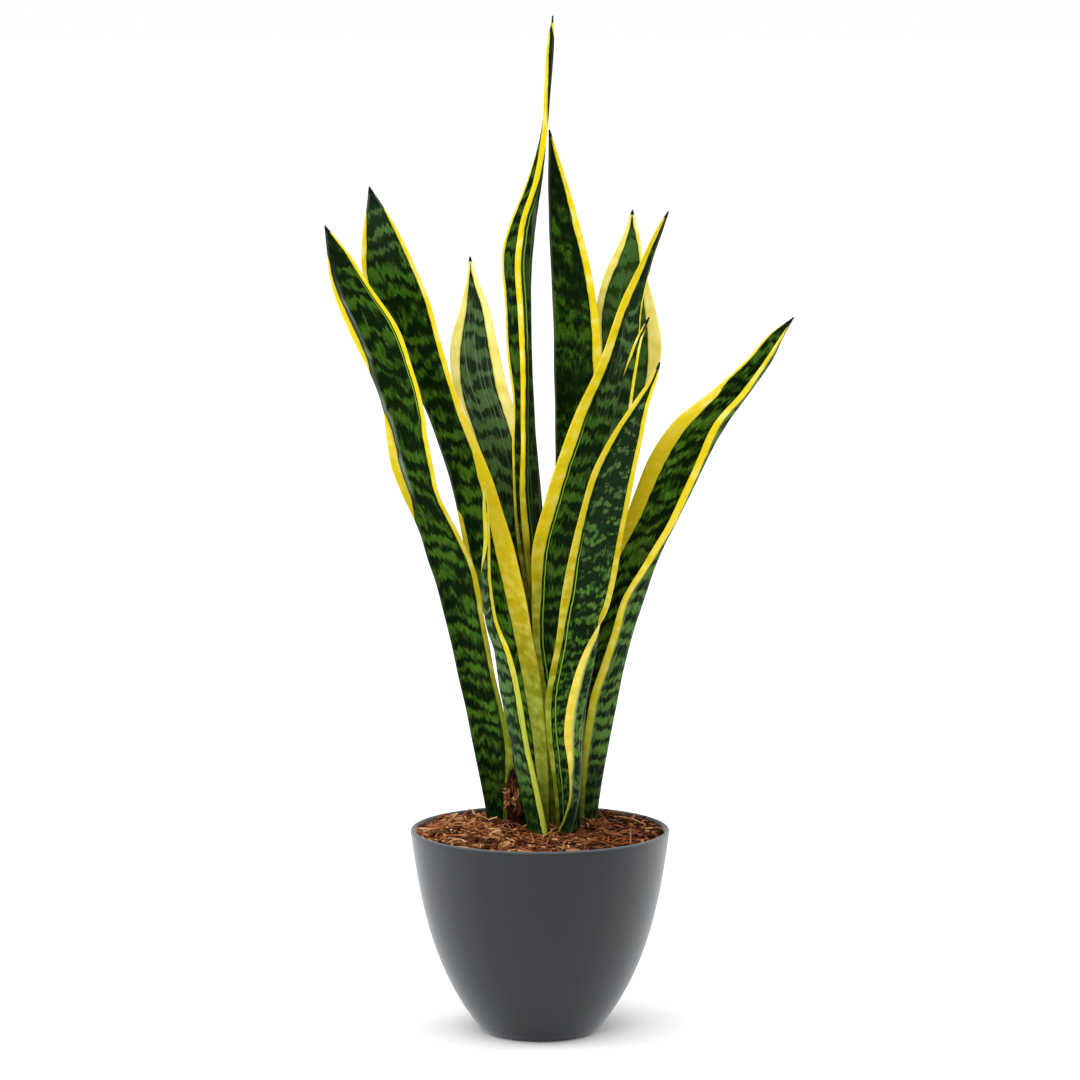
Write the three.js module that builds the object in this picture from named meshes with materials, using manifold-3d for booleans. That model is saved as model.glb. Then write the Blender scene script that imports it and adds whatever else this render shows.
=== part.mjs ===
// A potted laurentii snake plant: eleven upright leaves with channelled blades, standing in a
// tapered bowl pot that is filled with soil and topped with shredded bark.
// Millimetres, +Z up. The origin is the centre of the pot's flat base, on the ground.
// The pot's front faces -Y, and the tallest leaf leans a little to +X.

import * as THREE from 'three';
import { mergeVertices } from 'three/addons/utils/BufferGeometryUtils.js';
import Module from 'manifold-3d';

const wasm = await Module();
wasm.setup();

// Driving dimensions of the pot
const POT_RIM_RADIUS = 110;
const POT_HEIGHT = 174.3;
const POT_BASE_RADIUS = 48.5;
const POT_WALL = 3.8;
const POT_FLOOR = 4;
const POT_FOOT_EDGE = 2;
const POT_SEGMENTS = 56;
const BOWL_STEPS = 9;
const LIP_STEPS = 4;
const BOWL_LOWER_PULL = [0.84, 0.3];
const BOWL_UPPER_PULL = [0.93, 0.65];

// Driving dimensions of the filling
const SOIL_TOP = 150;
const SOIL_STEPS = 5;
const MULCH_EDGE_HEIGHT = 170.5;
const MULCH_CROWN_HEIGHT = 173.6;
const MULCH_CROWN_RADIUS = 32;
const MULCH_RINGS = 4;
const FILL_SEGMENTS = 40;
const FILL_GAP = 0.35;
const BARK_SEED = 20;
const CHIP_COUNT = 58;
const CHIP_LENGTH = 15;
const CHIP_WIDTH = 4;
const CHIP_THICKNESS = 2.6;
const CHIP_ROLL = 0.5;
const CHIP_PITCH = 0.3;
const CHIP_RISE = 0.2;
const TUFT_COUNT = 16;
const TUFT_CENTRE = [-21.5, -8];
const TUFT_SPREAD = [9, 14];
const TUFT_HEIGHT = 58;
const TUFT_ROOT_RADIUS = 3.4;
const TUFT_END_RADIUS = 1;
const TUFT_LEAN = 0.18;

// Driving dimensions of the leaves
const LEAF_ROOT_DEPTH = 36;
const LEAF_BASE_THICKNESS = 5;
const LEAF_BLADE_THICKNESS = 2.4;
const LEAF_EDGE_THICKNESS = 0.8;
const LEAF_FOOT_HEIGHT = 172;
const LEAF_THINNING_HEIGHT = 160;
const LEAF_TAPER = 0.12;
const LEAF_ROUNDING = 0.8;
const LEAF_FACETS_ACROSS = 6;
const LEAF_RINGS_PER_STATION = 2;

// A leaf is a list of level sections from the bark up to the tip. Each section holds its height
// and the plan positions [x, y] of the left edge, the rib in the middle and the right edge.
const LEAF_SECTIONS = {
  // The outermost leaf on the left, leaning out over the rim
  leaf_left_outer: [
    [172, [-45, 45], [-37, 48], [-28.5, 39]],
    [240, [-57.5, 40], [-42, 43], [-26.5, 32]],
    [310, [-71.5, 33], [-56, 36], [-40.5, 24]],
    [375, [-87, 26.5], [-70, 29], [-51, 17]],
    [400, [-94.5, 24], [-77, 26], [-57.5, 14]],
    [425, [-102, 21], [-86, 23], [-69, 11]],
    [455, [-115.5, 17], [-100, 20], [-83.5, 8]],
    [480, [-125, 14.5], [-108, 17], [-90, 6]],
    [505, [-129, 12], [-112, 14.5], [-95, 4]],
    [530, [-132, 9.5], [-115, 12.5], [-98, 3]],
    [560, [-142.5, 7], [-124, 10], [-105, 2]],
    [600, [-161.5, 4.5], [-141, 8], [-119.5, 1]],
    [635, [-174.5, 3.5], [-158.5, 6], [-142.5, 1]],
    [662, [-178, 2.5], [-169, 4], [-160, 1.4]],
    [685, [-180.2, 2], [-179.7, 2.2], [-179.2, 2]],
  ],
  // The tall leaf behind it
  leaf_left_tall: [
    [172, [-20, 4], [-5, 3], [7.5, -13]],
    [240, [-27.5, 14], [-10.5, 12.5], [6, -6]],
    [310, [-35.5, 24], [-18, 22], [-1.5, 2]],
    [365, [-51, 29.5], [-30.5, 28], [-11.5, 10]],
    [410, [-64, 33], [-42.5, 33], [-22, 16]],
    [450, [-72, 36], [-52.5, 37], [-33.5, 21]],
    [490, [-83, 38], [-66, 39.5], [-49, 25]],
    [530, [-98.5, 39.5], [-82, 42], [-66, 29]],
    [575, [-122, 41], [-102, 44], [-81.5, 33]],
    [615, [-142, 41.5], [-117, 45], [-92, 36]],
    [645, [-150.5, 42], [-127, 45], [-103.5, 38]],
    [675, [-150, 42], [-134, 44.5], [-118, 40]],
    [698, [-146.5, 42], [-139, 43.5], [-131.5, 41]],
    [716, [-144.6, 42], [-144.1, 42.2], [-143.6, 42]],
  ],
  // The broad pale-edged leaf at the back left
  leaf_back_left: [
    [172, [-16, 30], [-9.5, 35], [-3.5, 31]],
    [240, [-17.5, 36], [-10, 42], [-3, 37]],
    [310, [-19, 44], [-11.5, 50], [-4, 45]],
    [380, [-24.5, 54], [-15.5, 60], [-7, 54]],
    [435, [-34.5, 61], [-22, 67], [-9.5, 61]],
    [480, [-48, 66], [-31, 72], [-14.3, 66]],
    [520, [-63.5, 70], [-41.5, 76], [-21, 70]],
    [550, [-75, 72.5], [-52, 77.5], [-29.5, 72.5]],
    [580, [-76.5, 74.5], [-56.5, 79], [-36.5, 74.5]],
    [610, [-68.5, 76.5], [-56, 79.5], [-43, 76.5]],
    [635, [-62.7, 77.5], [-57.5, 79], [-52.7, 77.5]],
    [655, [-60.3, 78], [-59.8, 78.2], [-59.3, 78]],
  ],
  // The tallest leaf, rolled so that its right half folds forward
  leaf_centre_tallest: [
    [172, [-9, 15], [-2, 23], [7, 18]],
    [240, [-10, 22], [-1, 28], [6, 20]],
    [310, [-10, 33], [3, 32], [-1, 22]],
    [370, [-13, 42], [3.5, 38], [-9, 31]],
    [415, [-19.5, 46.5], [2.5, 42], [-14, 35]],
    [455, [-22.5, 51], [0, 45.5], [-17, 38]],
    [495, [-23.5, 54.5], [-4, 48.5], [-16, 42]],
    [535, [-23, 58], [-6.5, 52], [-16, 45]],
    [575, [-28, 60], [-8.5, 54], [-17, 48]],
    [615, [-29.5, 62], [-9, 56.5], [-19, 51]],
    [645, [-32, 63], [-8.5, 58], [-21, 53]],
    [665, [-31, 63.5], [-7, 58.5], [-20, 54]],
    [690, [-23.5, 64], [-4, 59.5], [-15.5, 55]],
    [720, [-11, 64], [0.5, 60], [-5.5, 56]],
    [755, [-0.5, 64], [4.5, 60.5], [1, 57]],
    [795, [5, 64], [8, 61], [3.5, 58]],
    [835, [8, 64], [11, 62.5], [6, 61]],
    [859.5, [10.3, 64], [10.8, 63.8], [11.3, 63.6]],
  ],
  // The tall leaf at the back, right of the centre
  leaf_back_tall: [
    [172, [5.5, 28], [17, 34.5], [27.5, 30]],
    [240, [7.5, 34], [18.5, 41], [29, 36]],
    [310, [8.5, 42], [21, 49], [33, 42]],
    [380, [10, 52], [25.5, 58], [41, 50]],
    [450, [13, 61], [30.5, 67], [48, 59]],
    [510, [13, 67], [32.5, 73], [52, 66]],
    [560, [12.5, 71.5], [32.5, 77.5], [52.5, 71]],
    [610, [11, 75.5], [30.5, 81], [49.5, 75.5]],
    [660, [9, 79.5], [24.5, 83.5], [39.5, 79.5]],
    [710, [7, 82], [16.5, 84.5], [26, 82]],
    [742, [7.4, 83], [11.5, 84.5], [15.5, 83]],
    [763, [7.5, 84], [8, 84.2], [8.5, 84]],
  ],
  // The broad pale-edged leaf at the back right
  leaf_back_right: [
    [172, [15.5, 47], [23, 52], [31, 48]],
    [240, [20.5, 53], [28.5, 60], [36, 55]],
    [310, [28.5, 62], [37, 69], [45.5, 63]],
    [380, [38, 73], [48, 79], [58, 73]],
    [440, [46, 81], [58, 87], [69.5, 81]],
    [490, [51, 86], [66.5, 92], [82, 86]],
    [520, [52.5, 89], [72, 95], [91, 89]],
    [550, [51.5, 91.5], [76, 97.5], [100, 91.5]],
    [580, [49.5, 93.5], [77, 99], [104.5, 93.5]],
    [610, [48.5, 95.5], [74, 100], [99, 95.5]],
    [640, [56, 97], [73.5, 100.5], [90.5, 97]],
    [670, [70, 98], [78, 100], [86, 98]],
    [694, [78.8, 98.5], [79.3, 98.7], [79.8, 98.5]],
  ],
  // The leaf that crosses in front of the back ones and points to the upper right
  leaf_right_crossing: [
    [172, [9.5, 4], [17, 11], [24.5, 8]],
    [240, [5.5, 9], [16, 16.5], [26.5, 11]],
    [290, [0.5, 14], [14, 20.5], [28, 14.5]],
    [330, [-5.5, 18.5], [13, 25], [32, 18.5]],
    [370, [-7, 24], [15, 30.5], [37, 23]],
    [410, [-6, 29], [20, 35.5], [45, 28]],
    [450, [4, 34], [29, 41], [54, 33]],
    [490, [17, 38.5], [40.5, 45.5], [64, 38]],
    [530, [33, 43], [54.5, 50], [76, 43]],
    [570, [51.5, 47.5], [67.5, 53.5], [83.5, 47.5]],
    [610, [66, 52], [75.5, 57], [85.5, 52]],
    [650, [84.5, 56], [89.5, 59.5], [94.5, 56]],
    [678, [98, 58], [101, 60], [104, 58]],
    [694.5, [108.4, 60], [108.9, 60.2], [109.4, 60]],
  ],
  // The slender young leaf between the right-hand leaves
  leaf_right_slender: [
    [172, [19, -9], [26, -3], [34, -4]],
    [240, [21, -5], [27.5, 1], [34, 0]],
    [310, [28.5, 1], [35, 6.5], [41, 4]],
    [350, [34, 6], [40.5, 11], [46.5, 8]],
    [390, [39.5, 10], [46.5, 14.5], [53, 11]],
    [450, [48.5, 14], [56, 18.5], [63.5, 14]],
    [510, [59.5, 18], [66.5, 22], [73.5, 18]],
    [555, [69.5, 20], [75, 23], [80.5, 20]],
    [587, [80, 21], [83, 22.2], [85.5, 21]],
    [607, [91.4, 22], [91.9, 22.2], [92.4, 22]],
  ],
  // The broad front leaf on the right, whose right edge folds forward low down
  leaf_right_front: [
    [172, [14, -13], [28.5, -25], [13.5, -39]],
    [190, [13.5, -15], [29, -27], [20, -40.5]],
    [210, [12, -17], [30.5, -28.5], [25, -42]],
    [235, [9, -19], [32, -30], [24, -43]],
    [260, [5.5, -20], [33.5, -30.5], [20.5, -43]],
    [285, [5, -20], [36.5, -29.5], [22.5, -42]],
    [310, [8.5, -20], [41.5, -27], [29, -41]],
    [330, [12.5, -18.5], [44.5, -21.5], [37, -35]],
    [348, [15, -17], [44.5, -16], [46.5, -30]],
    [366, [17.5, -15], [38.5, -13], [57, -26]],
    [400, [23, -11], [44, -7], [65, -18]],
    [440, [32.5, -7], [52.5, -3.5], [72.5, -12]],
    [475, [43, -4.5], [61, -0.5], [79, -8]],
    [508, [59, -2], [72.5, 1], [86, -4.5]],
    [535, [77, -1], [84, 1], [91.5, -2.5]],
    [556, [92, 0], [95, 0.5], [98, -1]],
    [570.5, [99.9, 0], [100.4, 0.2], [100.9, 0]],
  ],
  // The outermost leaf on the right, sweeping out furthest, folded lengthwise low down
  leaf_right_outer: [
    [172, [34, 50], [46.5, 38], [33.5, 26]],
    [205, [34.5, 50], [50.5, 37], [34.5, 24]],
    [240, [35.5, 49], [57, 35.5], [37, 22]],
    [280, [37.5, 47], [65, 34], [42.5, 21]],
    [310, [41, 45], [71, 33], [52, 20]],
    [340, [45.5, 42], [78.5, 32.5], [61.5, 19]],
    [370, [52.5, 39], [88, 32], [70.5, 18]],
    [400, [60.3, 35], [97, 31.5], [89, 17]],
    [430, [70.7, 31], [109.5, 30], [106.5, 16.5]],
    [460, [81.6, 27.5], [124, 28.5], [120.5, 15.5]],
    [490, [93.5, 24], [138, 26.5], [134, 15]],
    [520, [114, 21], [156.5, 25], [148.5, 15]],
    [545, [145, 19.5], [175, 23], [170, 14.5]],
    [570, [172.7, 17.5], [193, 20], [188.5, 14.5]],
    [592, [192, 16], [203.5, 17.5], [203, 15.5]],
    [607.5, [212.9, 16], [213.4, 16.2], [213.9, 16]],
  ],
  // The short young leaf at the front left, with its back turned to the viewer
  leaf_front_young: [
    [172, [-9.5, -26], [-1.5, -36], [6.5, -36]],
    [210, [-16.5, -26], [-9, -35.5], [-0.5, -35]],
    [250, [-24, -25], [-17, -34], [-9, -33]],
    [290, [-32, -23], [-24.5, -30.5], [-16.2, -30]],
    [310, [-35, -21.5], [-28, -29], [-19.8, -28]],
    [330, [-39, -20], [-33, -26.5], [-25.5, -26]],
    [345, [-44, -19], [-38.5, -24.5], [-32, -24.5]],
    [360, [-46.5, -18], [-42, -22.5], [-37, -23]],
    [390, [-49, -15], [-45.5, -19], [-41.5, -19.5]],
    [420, [-47, -12], [-44.5, -14.5], [-42, -15]],
    [448, [-48, -9], [-45.5, -10], [-43, -10.5]],
    [470.5, [-47, -8], [-46.5, -7.8], [-46, -8]],
  ],
};

// Colours and finishes
const POT_MATERIAL = { color: 0x3f4346, roughness: 0.5, metalness: 0 };
const SOIL_MATERIAL = { color: 0x2a1d14, roughness: 0.95, metalness: 0 };
const MULCH_MATERIAL = { color: 0x6e3a20, roughness: 0.85, metalness: 0 };
const LEAF_MATERIAL = { color: 0x2f5a1e, roughness: 0.4, metalness: 0 };

// A small seeded generator, so that every build places the bark in the same way
function seededRandom(seed) {
  let state = seed;
  return () => {
    state = (state + 0x6d2b79f5) | 0;
    let mixed = Math.imul(state ^ (state >>> 15), 1 | state);
    mixed = (mixed + Math.imul(mixed ^ (mixed >>> 7), 61 | mixed)) ^ mixed;
    return ((mixed ^ (mixed >>> 14)) >>> 0) / 4294967296;
  };
}

// Turns a closed mesh into a solid that can be joined and cut
function toSolid(geometry) {
  const bare = geometry.index ? geometry.toNonIndexed() : geometry.clone();
  bare.deleteAttribute('normal');
  bare.deleteAttribute('uv');
  const merged = mergeVertices(bare, 1e-4);
  return new wasm.Manifold(new wasm.Mesh({
    numProp: 3,
    vertProperties: new Float32Array(merged.attributes.position.array),
    triVerts: new Uint32Array(merged.index.array),
  }));
}

function fromSolid(solid) {
  const mesh = solid.getMesh();
  const geometry = new THREE.BufferGeometry();
  geometry.setAttribute('position', new THREE.BufferAttribute(mesh.vertProperties, 3));
  geometry.setIndex(new THREE.BufferAttribute(mesh.triVerts, 1));
  return geometry;
}

function joinAll(solids) {
  return solids.reduce((sum, solid) => sum.add(solid));
}

// Drops the loose crumbs that a cut leaves between the leaves
function largestBody(solid) {
  return solid.decompose().sort((one, other) => other.volume() - one.volume())[0];
}

function namedMesh(name, geometry, finish) {
  const shaded = geometry.clone();
  shaded.computeVertexNormals();
  const mesh = new THREE.Mesh(shaded, new THREE.MeshStandardMaterial(finish));
  mesh.name = name;
  return mesh;
}

// The outer side of the bowl from its foot to its rim: it flares widely at first, then steepens
function bowlCurve() {
  return new THREE.CubicBezierCurve(
    new THREE.Vector2(POT_BASE_RADIUS, 0),
    new THREE.Vector2(POT_RIM_RADIUS * BOWL_LOWER_PULL[0], POT_HEIGHT * BOWL_LOWER_PULL[1]),
    new THREE.Vector2(POT_RIM_RADIUS * BOWL_UPPER_PULL[0], POT_HEIGHT * BOWL_UPPER_PULL[1]),
    new THREE.Vector2(POT_RIM_RADIUS, POT_HEIGHT - POT_WALL / 2),
  );
}

// The bowl's outer radius at a height
function bowlRadius(height) {
  const points = bowlCurve().getPoints(200);
  const above = points.findIndex((point) => point.y >= height);
  if (above < 1) return height <= 0 ? POT_BASE_RADIUS : POT_RIM_RADIUS;
  const low = points[above - 1];
  const high = points[above];
  return THREE.MathUtils.mapLinear(height, low.y, high.y, low.x, high.x);
}

// The pot is one wall of even thickness with a rounded lip, turned about its axis
function potGeometry() {
  const outer = bowlCurve().getPoints(BOWL_STEPS);
  const profile = [new THREE.Vector2(0, 0), new THREE.Vector2(POT_BASE_RADIUS - POT_FOOT_EDGE, 0)];
  outer.forEach((point, index) => {
    profile.push(index === 0 ? new THREE.Vector2(POT_BASE_RADIUS, POT_FOOT_EDGE) : point);
  });
  const lipCentre = new THREE.Vector2(POT_RIM_RADIUS - POT_WALL / 2, POT_HEIGHT - POT_WALL / 2);
  for (let step = 1; step <= LIP_STEPS; step += 1) {
    const angle = Math.PI * step / LIP_STEPS;
    profile.push(new THREE.Vector2(
      lipCentre.x + Math.cos(angle) * POT_WALL / 2,
      lipCentre.y + Math.sin(angle) * POT_WALL / 2,
    ));
  }
  for (let step = BOWL_STEPS - 1; step > 0; step -= 1) {
    const point = outer[step];
    if (point.y > POT_FLOOR + POT_WALL) profile.push(new THREE.Vector2(point.x - POT_WALL, point.y));
  }
  profile.push(new THREE.Vector2(bowlRadius(POT_FLOOR) - POT_WALL, POT_FLOOR));
  profile.push(new THREE.Vector2(0, POT_FLOOR));
  return turned(profile, POT_SEGMENTS);
}

// A profile in the plane of radius and height, turned about the vertical axis
function turned(profile, segments) {
  const geometry = new THREE.LatheGeometry(profile, segments);
  geometry.rotateX(Math.PI / 2);
  return geometry;
}

// The inside of the pot between two heights, kept a small gap away from its wall
function fillProfile(bottom, top, steps) {
  const profile = [new THREE.Vector2(0, bottom)];
  for (let step = 0; step <= steps; step += 1) {
    const height = THREE.MathUtils.lerp(bottom, top, step / steps);
    profile.push(new THREE.Vector2(bowlRadius(height) - POT_WALL - 2 * FILL_GAP, height));
  }
  return profile;
}

function soilSolid() {
  const profile = fillProfile(POT_FLOOR + POT_WALL, SOIL_TOP, SOIL_STEPS);
  profile.push(new THREE.Vector2(0, SOIL_TOP));
  return toSolid(turned(profile, FILL_SEGMENTS));
}

// The height of the bark: a low crown in the middle that falls off to the wall
function mulchHeight(radius) {
  const edge = bowlRadius(MULCH_EDGE_HEIGHT) - POT_WALL;
  const fall = THREE.MathUtils.smoothstep(radius, MULCH_CROWN_RADIUS, edge);
  return THREE.MathUtils.lerp(MULCH_CROWN_HEIGHT, MULCH_EDGE_HEIGHT, fall);
}

function mulchBedSolid() {
  const profile = fillProfile(SOIL_TOP + FILL_GAP, MULCH_EDGE_HEIGHT, 2);
  const edge = profile[profile.length - 1].x;
  for (let ring = MULCH_RINGS - 1; ring >= 0; ring -= 1) {
    const radius = edge * ring / MULCH_RINGS;
    profile.push(new THREE.Vector2(radius, mulchHeight(radius)));
  }
  return toSolid(turned(profile, FILL_SEGMENTS));
}

// One shred of bark: a flat strip that narrows to one end
function chipSolid(length, width, placement) {
  const geometry = new THREE.BoxGeometry(length, width, CHIP_THICKNESS);
  const position = geometry.attributes.position;
  for (let index = 0; index < position.count; index += 1) {
    if (position.getX(index) > 0) position.setY(index, position.getY(index) * 0.5);
  }
  geometry.applyMatrix4(placement);
  return toSolid(geometry);
}

// Shreds lie on the bed in rings of golden-angle steps, each turned and tipped by a seeded draw
function chipSolids(random) {
  const goldenAngle = Math.PI * (3 - Math.sqrt(5));
  const reach = bowlRadius(MULCH_EDGE_HEIGHT) - POT_WALL - CHIP_LENGTH * 0.62;
  const chips = [];
  for (let index = 0; index < CHIP_COUNT; index += 1) {
    const radius = reach * Math.sqrt((index + 0.5) / CHIP_COUNT);
    const bearing = index * goldenAngle;
    const roll = (random() - 0.5) * CHIP_ROLL;
    const pitch = (random() - 0.5) * CHIP_PITCH;
    const tilt = new THREE.Euler(roll, pitch, random() * Math.PI * 2, 'ZYX');
    const length = CHIP_LENGTH * (0.7 + 0.5 * random());
    const width = CHIP_WIDTH * (0.7 + 0.6 * random());
    const placement = new THREE.Matrix4().makeRotationFromEuler(tilt);
    placement.setPosition(
      radius * Math.cos(bearing),
      radius * Math.sin(bearing),
      mulchHeight(radius) + CHIP_RISE,
    );
    chips.push(chipSolid(length, width, placement));
  }
  return chips;
}

// Husk fibres stand wedged between two leaf bases: thin four-sided spikes rooted in the bed
function tuftSolids(random) {
  const spikes = [];
  for (let index = 0; index < TUFT_COUNT; index += 1) {
    const height = TUFT_HEIGHT * (0.7 + 0.3 * random());
    const geometry = new THREE.CylinderGeometry(TUFT_END_RADIUS, TUFT_ROOT_RADIUS, height, 4);
    geometry.rotateX(Math.PI / 2);
    geometry.translate(0, 0, height / 2);
    geometry.rotateX((random() - 0.5) * TUFT_LEAN);
    geometry.rotateY((random() - 0.5) * TUFT_LEAN);
    geometry.translate(
      TUFT_CENTRE[0] + (random() - 0.5) * TUFT_SPREAD[0],
      TUFT_CENTRE[1] + (random() - 0.5) * TUFT_SPREAD[1],
      MULCH_EDGE_HEIGHT - 2,
    );
    spikes.push(toSolid(geometry));
  }
  return spikes;
}

// The root of a leaf goes straight down from its lowest section
function withRoot(sections) {
  const [height, left, rib, right] = sections[0];
  return [[height - LEAF_ROOT_DEPTH, left, rib, right], ...sections];
}

// Smooth lines through the left edges, the ribs and the right edges of a leaf
function leafLines(sections) {
  const lines = [1, 2, 3].map((column) => new THREE.CatmullRomCurve3(
    sections.map((section) => new THREE.Vector3(section[column][0], section[column][1], section[0])),
    false,
    'catmullrom',
    0.5,
  ));
  return { left: lines[0], rib: lines[1], right: lines[2] };
}

// Half the leaf's thickness at a height and at a share of the way across it
function halfThickness(height, across, chord) {
  const thin = LEAF_FOOT_HEIGHT + LEAF_THINNING_HEIGHT;
  const rise = THREE.MathUtils.smoothstep(height, LEAF_FOOT_HEIGHT, thin);
  const blade = THREE.MathUtils.lerp(LEAF_BASE_THICKNESS, LEAF_BLADE_THICKNESS, rise);
  const middle = Math.min(blade, LEAF_EDGE_THICKNESS + chord * LEAF_TAPER);
  const bulge = Math.sin(Math.PI * across) ** LEAF_ROUNDING;
  return THREE.MathUtils.lerp(LEAF_EDGE_THICKNESS, middle, bulge) / 2;
}

// A level section's two faces: a parabola through left edge, rib and right edge, thickened sideways
function leafSection(lines, share, grow) {
  const left = lines.left.getPoint(share);
  const rib = lines.rib.getPoint(share);
  const right = lines.right.getPoint(share);
  const pull = rib.clone().multiplyScalar(2).addScaledVector(left, -0.5).addScaledVector(right, -0.5);
  const curve = new THREE.QuadraticBezierCurve3(left, pull, right);
  const chord = left.distanceTo(rib) + rib.distanceTo(right);
  const front = [];
  const back = [];
  for (let index = 0; index <= LEAF_FACETS_ACROSS; index += 1) {
    const across = index / LEAF_FACETS_ACROSS;
    const point = curve.getPoint(across);
    const along = new THREE.Vector3().subVectors(pull, left).lerp(
      new THREE.Vector3().subVectors(right, pull), across,
    ).setZ(0).normalize();
    const side = new THREE.Vector3(along.y, -along.x, 0);
    const half = halfThickness(point.z, across, chord) + grow;
    if (index === 0) point.addScaledVector(along, -grow);
    if (index === LEAF_FACETS_ACROSS) point.addScaledVector(along, grow);
    front.push(point.clone().addScaledVector(side, half));
    back.push(point.clone().addScaledVector(side, -half));
  }
  return [...front, ...back.reverse()];
}

// A leaf is a closed skin over its sections, with both faces split into triangles alike
function leafGeometry(sections, grow) {
  const rooted = withRoot(sections);
  const lines = leafLines(rooted);
  const rings = (rooted.length - 1) * LEAF_RINGS_PER_STATION;
  const around = 2 * (LEAF_FACETS_ACROSS + 1);
  const positions = [];
  for (let ring = 0; ring <= rings; ring += 1) {
    const section = leafSection(lines, ring / rings, grow);
    if (ring === 0) section.forEach((point) => point.setZ(point.z - grow));
    section.forEach((point) => positions.push(point.x, point.y, point.z));
  }
  const faces = [];
  for (let ring = 0; ring < rings; ring += 1) {
    for (let spot = 0; spot < around; spot += 1) {
      const low = ring * around + spot;
      const lowNext = ring * around + (spot + 1) % around;
      const high = low + around;
      const highNext = lowNext + around;
      const onBack = spot >= around / 2;
      if (onBack) faces.push(low, lowNext, high, lowNext, highNext, high);
      else faces.push(low, lowNext, highNext, low, highNext, high);
    }
  }
  addEndCap(faces, 0, around, false);
  addEndCap(faces, rings * around, around, true);
  const geometry = new THREE.BufferGeometry();
  geometry.setAttribute('position', new THREE.Float32BufferAttribute(positions, 3));
  geometry.setIndex(faces);
  return geometry;
}

// Closes one end of a leaf with strips between its front and back points
function addEndCap(faces, first, around, facesUp) {
  for (let spot = 0; spot < LEAF_FACETS_ACROSS; spot += 1) {
    const front = first + spot;
    const frontNext = front + 1;
    const back = first + around - 1 - spot;
    const backNext = back - 1;
    if (facesUp) faces.push(front, frontNext, backNext, front, backNext, back);
    else faces.push(front, backNext, frontNext, front, back, backNext);
  }
}

const model = new THREE.Group();
const random = seededRandom(BARK_SEED);
const sleeves = joinAll(
  Object.values(LEAF_SECTIONS).map((sections) => toSolid(leafGeometry(sections, FILL_GAP))),
);
const mulch = joinAll([mulchBedSolid(), ...chipSolids(random), ...tuftSolids(random)]);

model.add(namedMesh('pot', potGeometry(), POT_MATERIAL));
model.add(namedMesh('potting_soil', fromSolid(largestBody(soilSolid().subtract(sleeves))), SOIL_MATERIAL));
model.add(namedMesh('bark_mulch', fromSolid(largestBody(mulch.subtract(sleeves))), MULCH_MATERIAL));
for (const [name, sections] of Object.entries(LEAF_SECTIONS)) {
  model.add(namedMesh(name, leafGeometry(sections, 0), LEAF_MATERIAL));
}

export default model;
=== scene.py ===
# A potted laurentii snake plant, dressed round its CAD frame: eleven variegated leaves, shredded
# bark with a husk tuft, and an anthracite bowl pot, on a pale studio floor.
# Lengths in the tables are millimetres; every object is made in metres in the frame of the part.
import math

import bpy
import numpy as np
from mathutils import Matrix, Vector


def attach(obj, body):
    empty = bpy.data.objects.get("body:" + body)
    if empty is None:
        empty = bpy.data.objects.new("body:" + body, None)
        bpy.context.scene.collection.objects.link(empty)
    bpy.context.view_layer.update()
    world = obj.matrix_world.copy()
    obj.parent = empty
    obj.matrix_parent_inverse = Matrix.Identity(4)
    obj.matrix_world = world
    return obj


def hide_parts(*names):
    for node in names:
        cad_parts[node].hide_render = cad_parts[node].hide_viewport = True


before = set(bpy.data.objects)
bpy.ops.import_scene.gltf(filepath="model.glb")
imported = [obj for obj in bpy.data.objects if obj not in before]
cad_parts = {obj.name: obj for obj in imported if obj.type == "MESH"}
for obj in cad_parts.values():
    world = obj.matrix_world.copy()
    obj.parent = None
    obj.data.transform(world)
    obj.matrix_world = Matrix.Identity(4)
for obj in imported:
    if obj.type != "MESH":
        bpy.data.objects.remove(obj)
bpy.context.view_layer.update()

MM = 0.001

# The camera, matched to the rim's ellipse and the pot's base in the photograph, in metres
CAMERA_DISTANCE = 3.708
CAMERA_PITCH = math.radians(6.767)
CAMERA_AIM_HEIGHT = 0.4208
HALF_VIEW = math.radians(7.0)
SENSOR_WIDTH = 36.0

# The pot's shape, as in the solids
RIM_RADIUS = 110.0
POT_HEIGHT = 174.3
BASE_RADIUS = 48.5
WALL = 3.8
FLOOR_THICKNESS = 4.0
FOOT_EDGE = 2.0
LOWER_PULL = (0.84, 0.3)
UPPER_PULL = (0.93, 0.65)
POT_SEGMENTS = 144

# The bark's surface, as in the solids
BARK_BOTTOM = 150.35
BARK_EDGE_HEIGHT = 170.5
BARK_CROWN_HEIGHT = 173.6
BARK_CROWN_RADIUS = 32.0
TUFT_CENTRE = (-21.5, -8.0)

# Loose shreds: their number, how far out they lie and reach, and how far they stay from the leaves
SHREDS = 2500
SHRED_TRIES = 5
SHRED_POINTS = 9
SHRED_THICKNESS = 0.9
SHRED_CENTRES = 104.0
SHRED_REACH = 105.2
LEAF_CLEARANCE = 2.4
LEAST_CLEARANCE = 2.0
# Kinds of shred: the share up to which each goes, its lengths and its widths
SHRED_KINDS = ((0.15, (9, 17), (4.0, 7.0)), (0.5, (11, 26), (2.0, 3.4)), (1.0, (14, 34), (0.9, 1.7)))

# The bed under them
BED_RINGS = 44
BED_SEGMENTS = 150
BED_GAP = 0.7
BED_DEPTH = 2.6
BED_EDGE_DEPTH = 3.2

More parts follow.
